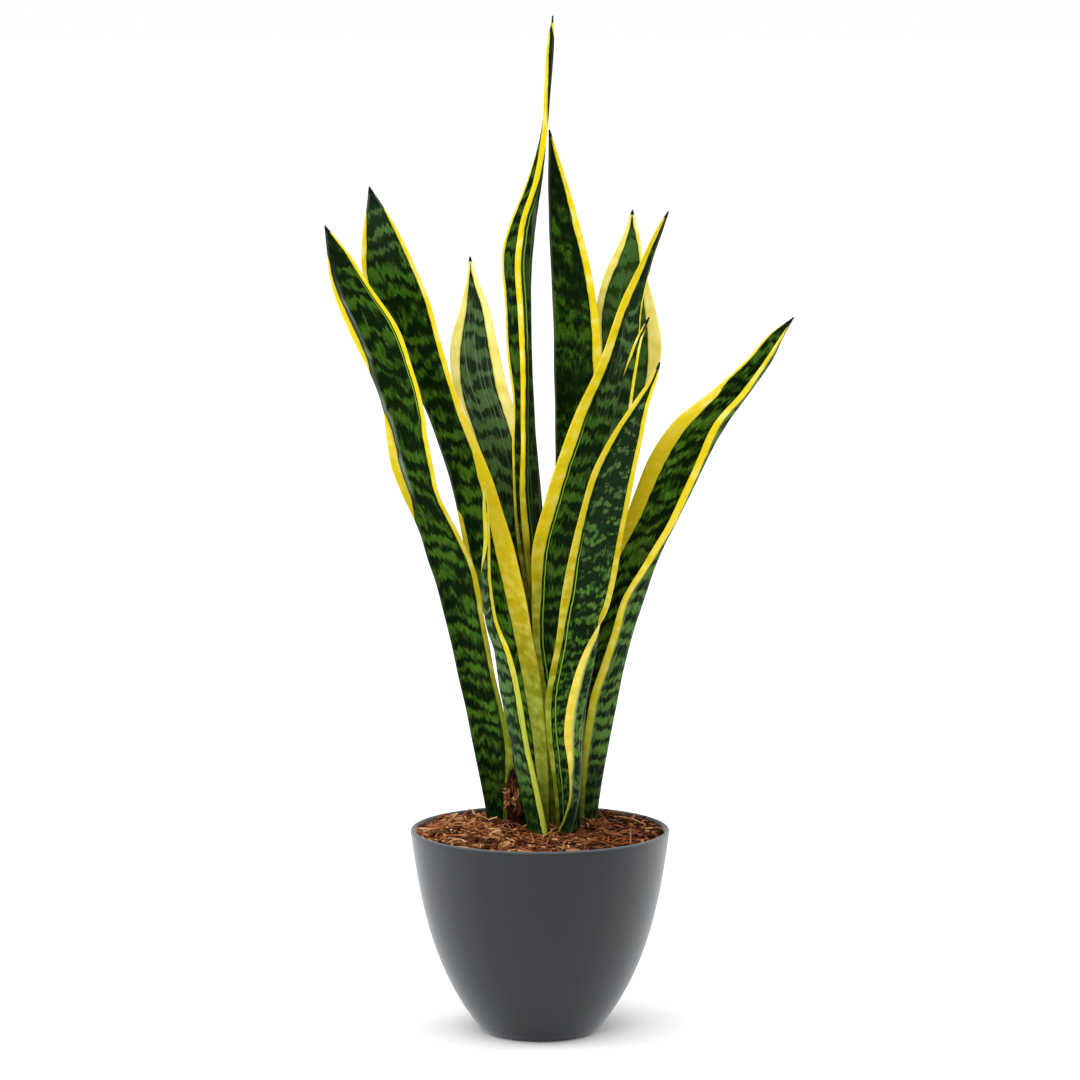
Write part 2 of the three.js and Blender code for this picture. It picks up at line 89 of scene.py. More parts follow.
# The husk tuft: its two sides by height, its knot and its heap, and how many pieces it has
TUFT_HEIGHTS = (168.0, 186.0, 198.0, 205.0, 214.0, 222.0, 229.0)
TUFT_LEFT = (-24.5, -26.0, -27.2, -28.0, -27.2, -26.4, -24.6)
TUFT_RIGHT = (-14.0, -15.5, -18.0, -19.0, -20.5, -22.0, -23.2)
TUFT_FOOT = 168
TUFT_TOP = 230
KNOT_HEIGHT = 206
KNOT_SIDE = -25.5
HEAP_CENTRE = (-24.5, -13.0)
HEAP_HEIGHT = 9.0
STRANDS = 340
LOOSE_ENDS = 34
HEAPED_HUSKS = 90

# Pale straws on the bark: both ends in plan, width, and how high the middle bows
STRAWS = (
    ((22, 6), (37, 10), 1.2, 1.6), ((33, 2), (43, 16), 0.8, 1.4), ((40, -6), (57, -3), 2.2, 0.9),
    ((-60, 6), (-44, 14), 0.8, 2.2), ((-44, 14), (-41, 4), 0.8, 2.4), ((60, -44), (72, -40), 1.6, 0.6),
    ((24, -62), (39, -70), 1.4, 0.6), ((-30, -30), (-18, -24), 1.2, 1.2), ((66, -12), (80, -18), 1.1, 0.8),
    ((-90, -6), (-78, 8), 0.9, 1.2), ((10, -76), (22, -80), 1.2, 0.6), ((70, 34), (80, 30), 1.5, 0.7),
)

# The leaves' thickness, as in the solids, and how finely they are divided
ROOT_DEPTH = 36.0
BASE_THICKNESS = 5.0
BLADE_THICKNESS = 2.4
EDGE_THICKNESS = 0.8
FOOT_HEIGHT = 172.0
THINNING_HEIGHT = 160.0
EDGE_ROUNDING = 0.25
TIP_POINT = 0.8
RINGS_PER_SPAN = 11
FACETS_ACROSS = 22

# The fine shape of the blades, and how their pattern is laid out
EDGE_WAVE = 0.5
EDGE_TWIST = 0.3
FLUTE_DEPTH = 0.09
FOOT_BAND_SPACING = 12.5
FAR_PATTERN_SHIFT = 80.0

# Level sections by height, from the bark up to the tip: left edge, rib and right edge in plan
LEAF_SECTIONS = {
    # The outermost leaf on the left, leaning out over the rim
    "leaf_left_outer": {
        172: (-45, 45, -37, 48, -28.5, 39), 240: (-57.5, 40, -42, 43, -26.5, 32),
        310: (-71.5, 33, -56, 36, -40.5, 24), 375: (-87, 26.5, -70, 29, -51, 17),
        400: (-94.5, 24, -77, 26, -57.5, 14), 425: (-102, 21, -86, 23, -69, 11),
        455: (-115.5, 17, -100, 20, -83.5, 8), 480: (-125, 14.5, -108, 17, -90, 6),
        505: (-129, 12, -112, 14.5, -95, 4), 530: (-132, 9.5, -115, 12.5, -98, 3),
        560: (-142.5, 7, -124, 10, -105, 2), 600: (-161.5, 4.5, -141, 8, -119.5, 1),
        635: (-174.5, 3.5, -158.5, 6, -142.5, 1), 662: (-178, 2.5, -169, 4, -160, 1.4),
        685: (-180.2, 2, -179.7, 2.2, -179.2, 2),
    },
    # The tall leaf behind it
    "leaf_left_tall": {
        172: (-20, 4, -5, 3, 7.5, -13), 240: (-27.5, 14, -10.5, 12.5, 6, -6),
        310: (-35.5, 24, -18, 22, -1.5, 2), 365: (-51, 29.5, -30.5, 28, -11.5, 10),
        410: (-64, 33, -42.5, 33, -22, 16), 450: (-72, 36, -52.5, 37, -33.5, 21),
        490: (-83, 38, -66, 39.5, -49, 25), 530: (-98.5, 39.5, -82, 42, -66, 29),
        575: (-122, 41, -102, 44, -81.5, 33), 615: (-142, 41.5, -117, 45, -92, 36),
        645: (-150.5, 42, -127, 45, -103.5, 38), 675: (-150, 42, -134, 44.5, -118, 40),
        698: (-146.5, 42, -139, 43.5, -131.5, 41), 716: (-144.6, 42, -144.1, 42.2, -143.6, 42),
    },
    # The broad pale-edged leaf at the back left
    "leaf_back_left": {
        172: (-16, 30, -9.5, 35, -3.5, 31), 240: (-17.5, 36, -10, 42, -3, 37),
        310: (-19, 44, -11.5, 50, -4, 45), 380: (-24.5, 54, -15.5, 60, -7, 54),
        435: (-34.5, 61, -22, 67, -9.5, 61), 480: (-48, 66, -31, 72, -14.3, 66),
        520: (-63.5, 70, -41.5, 76, -21, 70), 550: (-75, 72.5, -52, 77.5, -29.5, 72.5),
        580: (-76.5, 74.5, -56.5, 79, -36.5, 74.5), 610: (-68.5, 76.5, -56, 79.5, -43, 76.5),
        635: (-62.7, 77.5, -57.5, 79, -52.7, 77.5), 655: (-60.3, 78, -59.8, 78.2, -59.3, 78),
    },
    # The tallest leaf, rolled so that its right half folds forward
    "leaf_centre_tallest": {
        172: (-9, 15, -2, 23, 7, 18), 240: (-10, 22, -1, 28, 6, 20), 310: (-10, 33, 3, 32, -1, 22),
        370: (-13, 42, 3.5, 38, -9, 31), 415: (-19.5, 46.5, 2.5, 42, -14, 35),
        455: (-22.5, 51, 0, 45.5, -17, 38), 495: (-23.5, 54.5, -4, 48.5, -16, 42),
        535: (-23, 58, -6.5, 52, -16, 45), 575: (-28, 60, -8.5, 54, -17, 48),
        615: (-29.5, 62, -9, 56.5, -19, 51), 645: (-32, 63, -8.5, 58, -21, 53),
        665: (-31, 63.5, -7, 58.5, -20, 54), 690: (-23.5, 64, -4, 59.5, -15.5, 55),
        720: (-11, 64, 0.5, 60, -5.5, 56), 755: (-0.5, 64, 4.5, 60.5, 1, 57), 795: (5, 64, 8, 61, 3.5, 58),
        835: (8, 64, 11, 62.5, 6, 61), 859.5: (10.3, 64, 10.8, 63.8, 11.3, 63.6),
    },
    # The tall leaf at the back, right of the centre
    "leaf_back_tall": {
        172: (5.5, 28, 17, 34.5, 27.5, 30), 240: (7.5, 34, 18.5, 41, 29, 36), 310: (8.5, 42, 21, 49, 33, 42),
        380: (10, 52, 25.5, 58, 41, 50), 450: (13, 61, 30.5, 67, 48, 59), 510: (13, 67, 32.5, 73, 52, 66),
        560: (12.5, 71.5, 32.5, 77.5, 52.5, 71), 610: (11, 75.5, 30.5, 81, 49.5, 75.5),
        660: (9, 79.5, 24.5, 83.5, 39.5, 79.5), 710: (7, 82, 16.5, 84.5, 26, 82),
        742: (7.4, 83, 11.5, 84.5, 15.5, 83), 763: (7.5, 84, 8, 84.2, 8.5, 84),
    },
    # The broad pale-edged leaf at the back right
    "leaf_back_right": {
        172: (15.5, 47, 23, 52, 31, 48), 240: (20.5, 53, 28.5, 60, 36, 55), 310: (28.5, 62, 37, 69, 45.5, 63),
        380: (38, 73, 48, 79, 58, 73), 440: (46, 81, 58, 87, 69.5, 81), 490: (51, 86, 66.5, 92, 82, 86),
        520: (52.5, 89, 72, 95, 91, 89), 550: (51.5, 91.5, 76, 97.5, 100, 91.5),
        580: (49.5, 93.5, 77, 99, 104.5, 93.5), 610: (48.5, 95.5, 74, 100, 99, 95.5),
        640: (56, 97, 73.5, 100.5, 90.5, 97), 670: (70, 98, 78, 100, 86, 98),
        694: (78.8, 98.5, 79.3, 98.7, 79.8, 98.5),
    },
    # The leaf that crosses in front of the back ones and points to the upper right
    "leaf_right_crossing": {
        172: (9.5, 4, 17, 11, 24.5, 8), 240: (5.5, 9, 16, 16.5, 26.5, 11), 290: (0.5, 14, 14, 20.5, 28, 14.5),
        330: (-5.5, 18.5, 13, 25, 32, 18.5), 370: (-7, 24, 15, 30.5, 37, 23), 410: (-6, 29, 20, 35.5, 45, 28),
        450: (4, 34, 29, 41, 54, 33), 490: (17, 38.5, 40.5, 45.5, 64, 38), 530: (33, 43, 54.5, 50, 76, 43),
        570: (51.5, 47.5, 67.5, 53.5, 83.5, 47.5), 610: (66, 52, 75.5, 57, 85.5, 52),
        650: (84.5, 56, 89.5, 59.5, 94.5, 56), 678: (98, 58, 101, 60, 104, 58),
        694.5: (108.4, 60, 108.9, 60.2, 109.4, 60),
    },
    # The slender young leaf between the right-hand leaves
    "leaf_right_slender": {
        172: (19, -9, 26, -3, 34, -4), 240: (21, -5, 27.5, 1, 34, 0), 310: (28.5, 1, 35, 6.5, 41, 4),
        350: (34, 6, 40.5, 11, 46.5, 8), 390: (39.5, 10, 46.5, 14.5, 53, 11),
        450: (48.5, 14, 56, 18.5, 63.5, 14), 510: (59.5, 18, 66.5, 22, 73.5, 18),
        555: (69.5, 20, 75, 23, 80.5, 20), 587: (80, 21, 83, 22.2, 85.5, 21),
        607: (91.4, 22, 91.9, 22.2, 92.4, 22),
    },
    # The broad front leaf on the right, whose right edge folds forward low down
    "leaf_right_front": {
        172: (14, -13, 28.5, -25, 13.5, -39), 190: (13.5, -15, 29, -27, 20, -40.5),
        210: (12, -17, 30.5, -28.5, 25, -42), 235: (9, -19, 32, -30, 24, -43),
        260: (5.5, -20, 33.5, -30.5, 20.5, -43), 285: (5, -20, 36.5, -29.5, 22.5, -42),
        310: (8.5, -20, 41.5, -27, 29, -41), 330: (12.5, -18.5, 44.5, -21.5, 37, -35),
        348: (15, -17, 44.5, -16, 46.5, -30), 366: (17.5, -15, 38.5, -13, 57, -26),
        400: (23, -11, 44, -7, 65, -18), 440: (32.5, -7, 52.5, -3.5, 72.5, -12),
        475: (43, -4.5, 61, -0.5, 79, -8), 508: (59, -2, 72.5, 1, 86, -4.5), 535: (77, -1, 84, 1, 91.5, -2.5),
        556: (92, 0, 95, 0.5, 98, -1), 570.5: (99.9, 0, 100.4, 0.2, 100.9, 0),
    },
    # The outermost leaf on the right, sweeping out furthest, folded lengthwise low down
    "leaf_right_outer": {
        172: (34, 50, 46.5, 38, 33.5, 26), 205: (34.5, 50, 50.5, 37, 34.5, 24),
        240: (35.5, 49, 57, 35.5, 37, 22), 280: (37.5, 47, 65, 34, 42.5, 21), 310: (41, 45, 71, 33, 52, 20),
        340: (45.5, 42, 78.5, 32.5, 61.5, 19), 370: (52.5, 39, 88, 32, 70.5, 18),
        400: (60.3, 35, 97, 31.5, 89, 17), 430: (70.7, 31, 109.5, 30, 106.5, 16.5),
        460: (81.6, 27.5, 124, 28.5, 120.5, 15.5), 490: (93.5, 24, 138, 26.5, 134, 15),
        520: (114, 21, 156.5, 25, 148.5, 15), 545: (145, 19.5, 175, 23, 170, 14.5),
        570: (172.7, 17.5, 193, 20, 188.5, 14.5), 592: (192, 16, 203.5, 17.5, 203, 15.5),
        607.5: (212.9, 16, 213.4, 16.2, 213.9, 16),
    },
    # The short young leaf at the front left, with its back turned to the viewer
    "leaf_front_young": {
        172: (-9.5, -26, -1.5, -36, 6.5, -36), 210: (-16.5, -26, -9, -35.5, -0.5, -35),
        250: (-24, -25, -17, -34, -9, -33), 290: (-32, -23, -24.5, -30.5, -16.2, -30),
        310: (-35, -21.5, -28, -29, -19.8, -28), 330: (-39, -20, -33, -26.5, -25.5, -26),
        345: (-44, -19, -38.5, -24.5, -32, -24.5), 360: (-46.5, -18, -42, -22.5, -37, -23),
        390: (-49, -15, -45.5, -19, -41.5, -19.5), 420: (-47, -12, -44.5, -14.5, -42, -15),
        448: (-48, -9, -45.5, -10, -43, -10.5), 470.5: (-47, -8, -46.5, -7.8, -46, -8),
    },
}

# Widths of the yellow margins by height, as seen from the front. A leaf lists those on the face
# turned to the front and on the face turned away, which is plain where nothing is listed. "seen"
# margins on an away face belong to a half that folds forward, so they are measured as seen too.
PLAIN = {172: 3.5, 400: 3.5, 900: 3.0}
NONE = {172: -1.0, 900: -1.0}
MARGINS = {
    "leaf_left_outer": {
        "left": {172: -1, 432: -1, 440: 1.5, 452: 5.5, 470: 6.8, 496: 6.4, 512: 4.6, 524: 1.5, 530: -1,
            558: -1, 572: 2.8, 590: 4.4, 606: 4.2, 628: 3, 645: 1.6, 656: 0.8, 664: -1},
        "right": {172: 2.6, 310: 3.2, 375: 4, 455: 3, 530: 3, 600: 3.6, 650: 3, 674: 1.5, 684: 0.7, 689: -1},
    },
    "leaf_left_tall": {
        "left": {172: 3, 380: 3, 418: 4, 438: 3, 444: -1, 568: -1, 590: 1, 620: 3, 665: 4, 682: 2.4,
            692: 0.8, 697: -1},
        "right": {172: 4, 199: 6, 216: 8.5, 258: 11, 289: 13.5, 323: 15, 366: 16, 409: 16, 437: 14, 454: 13,
            471: 11, 493: 7, 522: 6, 545: 4, 620: 3.6, 662: 3.4, 685: 2.2, 696: 0.8, 701: -1},
    },
    "leaf_back_left": {
        "left": {172: 1, 500: 1, 528: 2.6, 542: 5.5, 556: 7.5, 572: 8.5, 587: 8.6, 600: 6.6, 614: 4.6,
            629: 2.4, 640: 1.4, 655: 1},
        "right": {172: 4, 480: 5, 505: 7, 522: 9.5, 538: 10, 566: 8, 595: 7, 619: 5.5, 641: 3.4, 655: 1},
    },
    "leaf_centre_tallest": {
        "left": {172: 3, 404: 3.4, 440: 2, 705: 1.6, 740: 0.4, 760: -1, 860: -1},
        "right": {172: 3.5, 400: 3.5, 815: 3, 840: 0.8, 846: -1},
        "seen_right": {172: 3.4, 404: 4.6, 421: 5.5, 455: 4.6, 490: 3.4, 523: 3.2, 557: 4, 590: 4.2,
            625: 4.7, 655: 4.8, 690: 4.4, 725: 3.7, 764: 3.6, 793: 2.7, 815: 2.4, 835: 1.8, 844: 1, 851: -1},
    },
    "leaf_back_tall": {
        "left": NONE,
        "right": {172: 3.5, 400: 4, 500: 5, 540: 6, 570: 7, 600: 6.6, 630: 6, 650: 5.2, 683: 5.2, 711: 3.8,
            735: 3, 748: 2, 756: 0.8, 761: -1},
    },
    "leaf_back_right": {
        "left": {172: 3.5, 560: 3.5, 590: 4, 612: 5.5, 631: 6.3, 647: 7, 662: 5.5, 678: 3.4, 690: 1.4,
            694: 1},
        "right": {172: 3.5, 500: 5, 530: 7, 553: 8.5, 568: 10.5, 580: 11.4, 594: 10.7, 611: 8.5, 626: 5.8,
            640: 3, 660: 2.6, 680: 3, 690: 1.4, 694: 1},
    },
    "leaf_right_crossing": {
        "left": {172: 4, 240: 4.5, 290: 4.6, 327: 5.2, 366: 7.4, 403: 10, 443: 11.3, 472: 10.7, 505: 10.2,
            518: 9, 549: 8.5, 580: 7, 612: 6, 643: 5.5, 659: 4, 675: 3.6, 684: 2.4, 690: 0.8, 694: -1},
        "right": {172: 1.2, 450: 1.2, 520: 0.4, 600: 0.4, 640: 0.2, 655: -1, 694: -1},
    },
    "leaf_right_slender": {
        "left": {172: -1, 552: -1, 562: 0.5, 574: 1.8, 585: 2.1, 596: 1.5, 602: 0.6, 605: -1},
        "right": {172: -1, 330: -1, 350: 1.6, 560: 1.8, 590: 1.2, 600: -1, 607: -1},
        "away_left": NONE,
    },
    "leaf_right_front": {
        "left": {172: 3, 210: 3.4, 250: 4.2, 300: 4.8, 328: 5, 353: 5.6, 379: 7.4, 404: 6.4, 429: 5.4,
            455: 4.9, 488: 5.2, 515: 4.6, 531: 4.2, 547: 3.6, 556: 2.4, 565: 0.8, 569: -1},
        "right": {172: 3, 366: 4, 400: 4, 450: 3.5, 500: 3, 550: 2.5, 562: 1, 569: -1},
        "seen_right": {172: 1.1, 226: 1.3, 238: 3.4, 252: 5.4, 269: 6.6, 286: 6.6, 303: 6.2, 318: 5.4,
            345: 3.5, 400: 3.5, 570: 2},
    },
    "leaf_right_outer": {
        "left": {172: 3, 370: 3, 390: 4.4, 412: 8.5, 439: 12.7, 463: 13.6, 488: 15.5, 510: 15.6, 525: 15.4,
            541: 9.9, 549: 5, 557: 2.6, 580: 2.2, 600: 0.6, 605: -1},
        "right": {172: 3, 500: 3, 530: 4, 545: 6, 560: 5.5, 575: 4.8, 590: 3, 600: 1, 605: -1},
        "seen_right": {172: 3.6, 200: 3.8, 218: 4.4, 235: 5, 252: 5.6, 269: 5.8, 286: 6.2, 303: 6.8,
            320: 5.8, 335: 6, 350: 5.6, 365: 5.5, 400: 6, 540: 6, 560: 4, 590: 2, 603: -1},
    },
    "leaf_front_young": {
        "left": {172: -1, 385: -1, 400: 1, 425: 4.5, 450: 3, 465: 1.5, 470: 1},
        "right": {172: 3.4, 188: 4.4, 218: 4.2, 255: 4.6, 286: 4.2, 320: 4.6, 350: 3, 380: 2, 440: 1.8,
            470: 0.6},
    },
}

# How each leaf is coloured, where it differs from the plain look: near and far are the faces turned
# to the front and away, and a rise is measured along the leaf from its foot.
# Bands: seed and slope place them, far_slope and far_stretch on the far face. period is their spacing
# on the blade, banded their strength (near, far), and teeth the depth of their feathering. dark raises
# the share of dark green and bright that of vivid green, flat evens the greens high up, lace draws
# scales low down, and tip darkens them (from this far down, by this much). cap is the needle's length.
# Green: grey is the painted sheen, a grey-green standing in for gloss (near, far), fading where it starts
# (two rises, the rest below), ash more of it at the tip, streaks the pale lines (two rises, near, far),
# shade darkens the far face, halo is a pale band beside the far margins, edge the painted grey sheen along
# margins that are absent, and glint a painted grey highlight line (side, distance, width, two heights,
# strength). Lime lines run inside a margin: side, strength, distance low down and high up, and the heights
# between which they show.
# Yellow: pale lightens it and calm evens it; ripe deepens it to deep gold lower down, partly its own colour
# and partly painted shade (two rises, near, far), mottle spots it, faded pales it on the far face, and it
# turns olive between two rises, later by fresh on the far face.
# foot is the olive's colour, on the tallest leaf a darker olive as painted shade; veil dulls it higher up,
# and damp is the share of painted shade at its foot.
PLAIN_LOOK = dict(
    slope=0.0, far_stretch=0.45, banded=(0.34, 0.34), teeth=1.1, dark=0.0, tip=(60, 0.3), cap=6.5,
    grey=(0.0, 0.6), fading=(10, 90, 1.0), edge=0.3, mottle=0.08, faded=0.0, olive=(120, 20), fresh=0.0,
    damp=1.0, lime=(), glint=())
LOOKS = {
    "leaf_left_outer": dict(
        seed=1, period=21, slope=0.2, dark=0.06, bright=0.1, tip=(110, 0.3), grey=(0.04, 0.6), edge=0.35,
        pale=0.05, olive=(420, 95), lime=(("right", 0.9, 1.8, 1.4, 530, 662),),
        glint=(("left", 2.4, 5.4, 440, 690, 0.55),)),
    "leaf_left_tall": dict(
        seed=2, period=18, dark=0.03, bright=0.15, ash=90, edge=0.5, pale=0.16, ripe=(420, 280, 0.75, 0.75),
        mottle=0.36, olive=(235, 105)),
    "leaf_back_left": dict(
        seed=3, period=20, teeth=0.6, bright=0.1, cap=4.6, grey=(0.65, 0.6), fading=(230, 400, 0.4),
        streaks=(230, 330, 0.45, 0.3), pale=0.75, calm=0.65, mottle=0.0),
    # The tallest leaf's foot is a darker olive, painted shade where its neighbours cover it
    "leaf_centre_tallest": dict(
        seed=4, period=18, slope=0.2, dark=0.1, bright=0.15, grey=(0.1, 0.1), streaks=(-20, 0, 0.0, 0.5),
        shade=0.55, edge=0.4, pale=0.15, olive=(360, 195), foot=(0.03, 0.045, 0.002),
        lime=(("right", 0.35, 2.2, 2.2, 330, 575), ("right", 0.8, 2.2, 2.2, 575, 700))),
    "leaf_back_tall": dict(
        seed=5, period=15, banded=(0.14, 0.14), teeth=1.6, dark=0.1, bright=0.0, tip=(160, 0.35), edge=0.35,
        pale=0.15),
    "leaf_back_right": dict(
        seed=6, period=16, dark=-0.12, bright=0.2, flat=0.35, tip=(60, -0.2), cap=4.6, grey=(0.3, 0.6),
        pale=0.6, calm=0.6),
    "leaf_right_crossing": dict(
        seed=7, period=17, slope=0.1, dark=0.08, bright=0.15, tip=(200, 0.3), grey=(0.5, 0.6),
        fading=(330, 440, 0.15), streaks=(330, 410, 0.3, 0.3), pale=0.12, ripe=(330, 225, 0.5, 0.4),
        mottle=0.35, olive=(295, 150), lime=(("left", 1.0, 3.0, 2.0, 172, 520),)),
    "leaf_right_slender": dict(
        seed=8, period=18, slope=0.1, bright=0.1, grey=(0.3, 0.6), edge=0.2, pale=0.4),
    "leaf_right_front": dict(
        seed=9, period=15, slope=0.05, dark=0.12, bright=0.3, lace=0.8, grey=(0.5, 0.85),
        fading=(150, 300, 0.3), streaks=(-20, 0, 0.0, 0.6), halo=0.8, pale=0.2, ripe=(430, 300, 0.6, 0.35),
        mottle=0.5, faded=0.2, olive=(360, 60), fresh=400.0, lime=(("left", 1.0, 4.2, 1.8, 172, 420),)),
    "leaf_right_outer": dict(
        seed=10, period=17, slope=-0.3, far_slope=0.15, far_stretch=0.0, banded=(0.34, 0.55), dark=0.02,
        bright=0.45, tip=(220, -0.1), grey=(0.0, 0.3), streaks=(-20, 0, 0.0, 0.35), halo=0.3, pale=0.3,
        ripe=(400, 330, 0.95, 0.15), mottle=0.5, faded=0.05, olive=(200, 30), foot=(0.3, 0.36, 0.01)),
    "leaf_front_young": dict(
        seed=11, period=15, slope=0.3, dark=0.05, bright=0.3, cap=0.0, grey=(0.6, 0.2),
        fading=(10, 90, 0.1), pale=0.3, mottle=0.3, olive=(190, 90), foot=(0.5, 0.56, 0.06), veil=0.5,
        damp=0.2),
}

# Leaf colours
DARK_GREEN = (0.0021, 0.0092, 0.0008)
MID_GREEN = (0.031, 0.083, 0.0045)
BRIGHT_GREEN = (0.09, 0.2, 0.016)
GREY_DARK = (0.015, 0.034, 0.014)
GREY_LIGHT = (0.088, 0.15, 0.062)
EDGE_GREY = (0.115, 0.12, 0.105)
SHADE = (0.006, 0.009, 0.004)
HALO = (0.36, 0.42, 0.16)
STREAK_PALE = (0.2, 0.28, 0.15)
GLINT = (0.32, 0.33, 0.3)
GOLD = (0.77, 0.59, 0.008)
PALE_YELLOW = (0.9, 0.83, 0.27)
CREAM_YELLOW = (0.98, 0.9, 0.36)
MOTTLE_YELLOW = (0.86, 0.73, 0.16)
FADED_YELLOW = (0.66, 0.58, 0.2)
DEEP_GOLD = (0.46, 0.345, 0.004)
OLIVE = (0.125, 0.17, 0.004)
BROWN_OLIVE = (0.17, 0.165, 0.003)
OLIVE_SPOTS = (0.34, 0.38, 0.04)
OLIVE_MOTTLE = (0.4, 0.43, 0.06)
VEIL = (0.17, 0.19, 0.02)
LIME = (0.2, 0.36, 0.03)
TIP_GREEN = (0.004, 0.0125, 0.004)


class Tree:
    """Short ways to write a material's nodes. An input is a socket, or a plain value."""

    def __init__(self, name):
        self.material = bpy.data.materials.new(name)
        self.material.use_nodes = True
        self.nodes = self.material.node_tree.nodes
        self.links = self.material.node_tree.links
        self.shader = next(n for n in self.nodes if n.type == "BSDF_PRINCIPLED")

    def put(self, socket, value):
        if isinstance(value, bpy.types.NodeSocket):
            self.links.new(value, socket)
        elif isinstance(value, tuple) and len(value) == 3 and socket.type == "RGBA":
            socket.default_value = (*value, 1.0)
        else:
            socket.default_value = value

    def node(self, kind, *values):
        """A node with its first inputs set."""
        made = self.nodes.new("ShaderNode" + kind)
        for socket, value in zip(made.inputs, values):
            self.put(socket, value)
        return made

    def math(self, operation, a, b=0.0):
        made = self.node("Math", a, b)
        made.operation = operation
        return made.outputs[0]

    def add(self, a, b):
        return self.math("ADD", a, b)

    def times(self, a, b):
        return self.math("MULTIPLY", a, b)

    def swing(self, noise, amount):
        """The noise about its middle, times the amount."""
        return self.times(self.add(noise, -0.5), amount)

    def step(self, value, low, high, to_low=0.0, to_high=1.0):
        """A smooth rise from to_low to to_high as value goes from low to high."""
        made = self.node("MapRange", value, low, high, to_low, to_high)
        made.interpolation_type = "SMOOTHSTEP"
        return made.outputs[0]

    def between(self, value, start, full, fade, end):
        """1 where value is between full and fade, and 0 before start and after end."""
        return self.times(self.step(value, start, full), self.step(value, end, fade))

    def mix(self, share, a, b):
        made = self.nodes.new("ShaderNodeMix")
        made.data_type = "RGBA"
        for place, value in ((0, share), (6, a), (7, b)):
            self.put(made.inputs[place], value)
        return made.outputs[2]

    def attribute(self, name):
        made = self.nodes.new("ShaderNodeAttribute")
        made.attribute_name = name
        return made.outputs["Fac"]

    def uv(self, name):
        made = self.nodes.new("ShaderNodeUVMap")
        made.uv_map = name
        return self.node("SeparateXYZ", made.outputs[0]).outputs[:2]

    def place(self):
        return self.nodes.new("ShaderNodeTexCoord").outputs["Object"]

    def join(self, x, y, z):
        return self.node("CombineXYZ", x, y, z).outputs[0]

    def noise(self, vector, scale=1.0, detail=2.0, roughness=0.5):
        made = self.nodes.new("ShaderNodeTexNoise")
        self.put(made.inputs["Vector"], vector)
        made.inputs["Scale"].default_value = scale
        made.inputs["Detail"].default_value = detail
        made.inputs["Roughness"].default_value = roughness
        return made.outputs["Fac"]

    def bump(self, height, distance, strength):
        made = self.nodes.new("ShaderNodeBump")
        made.inputs["Strength"].default_value = strength
        made.inputs["Distance"].default_value = distance
        self.put(made.inputs["Height"], height)
        self.put(self.shader.inputs["Normal"], made.outputs[0])

    def finish(self, colour, roughness, specular):
        self.put(self.shader.inputs["Base Color"], colour)
        self.put(self.shader.inputs["Roughness"], roughness)
        self.shader.inputs["Specular IOR Level"].default_value = specular
        return self.material


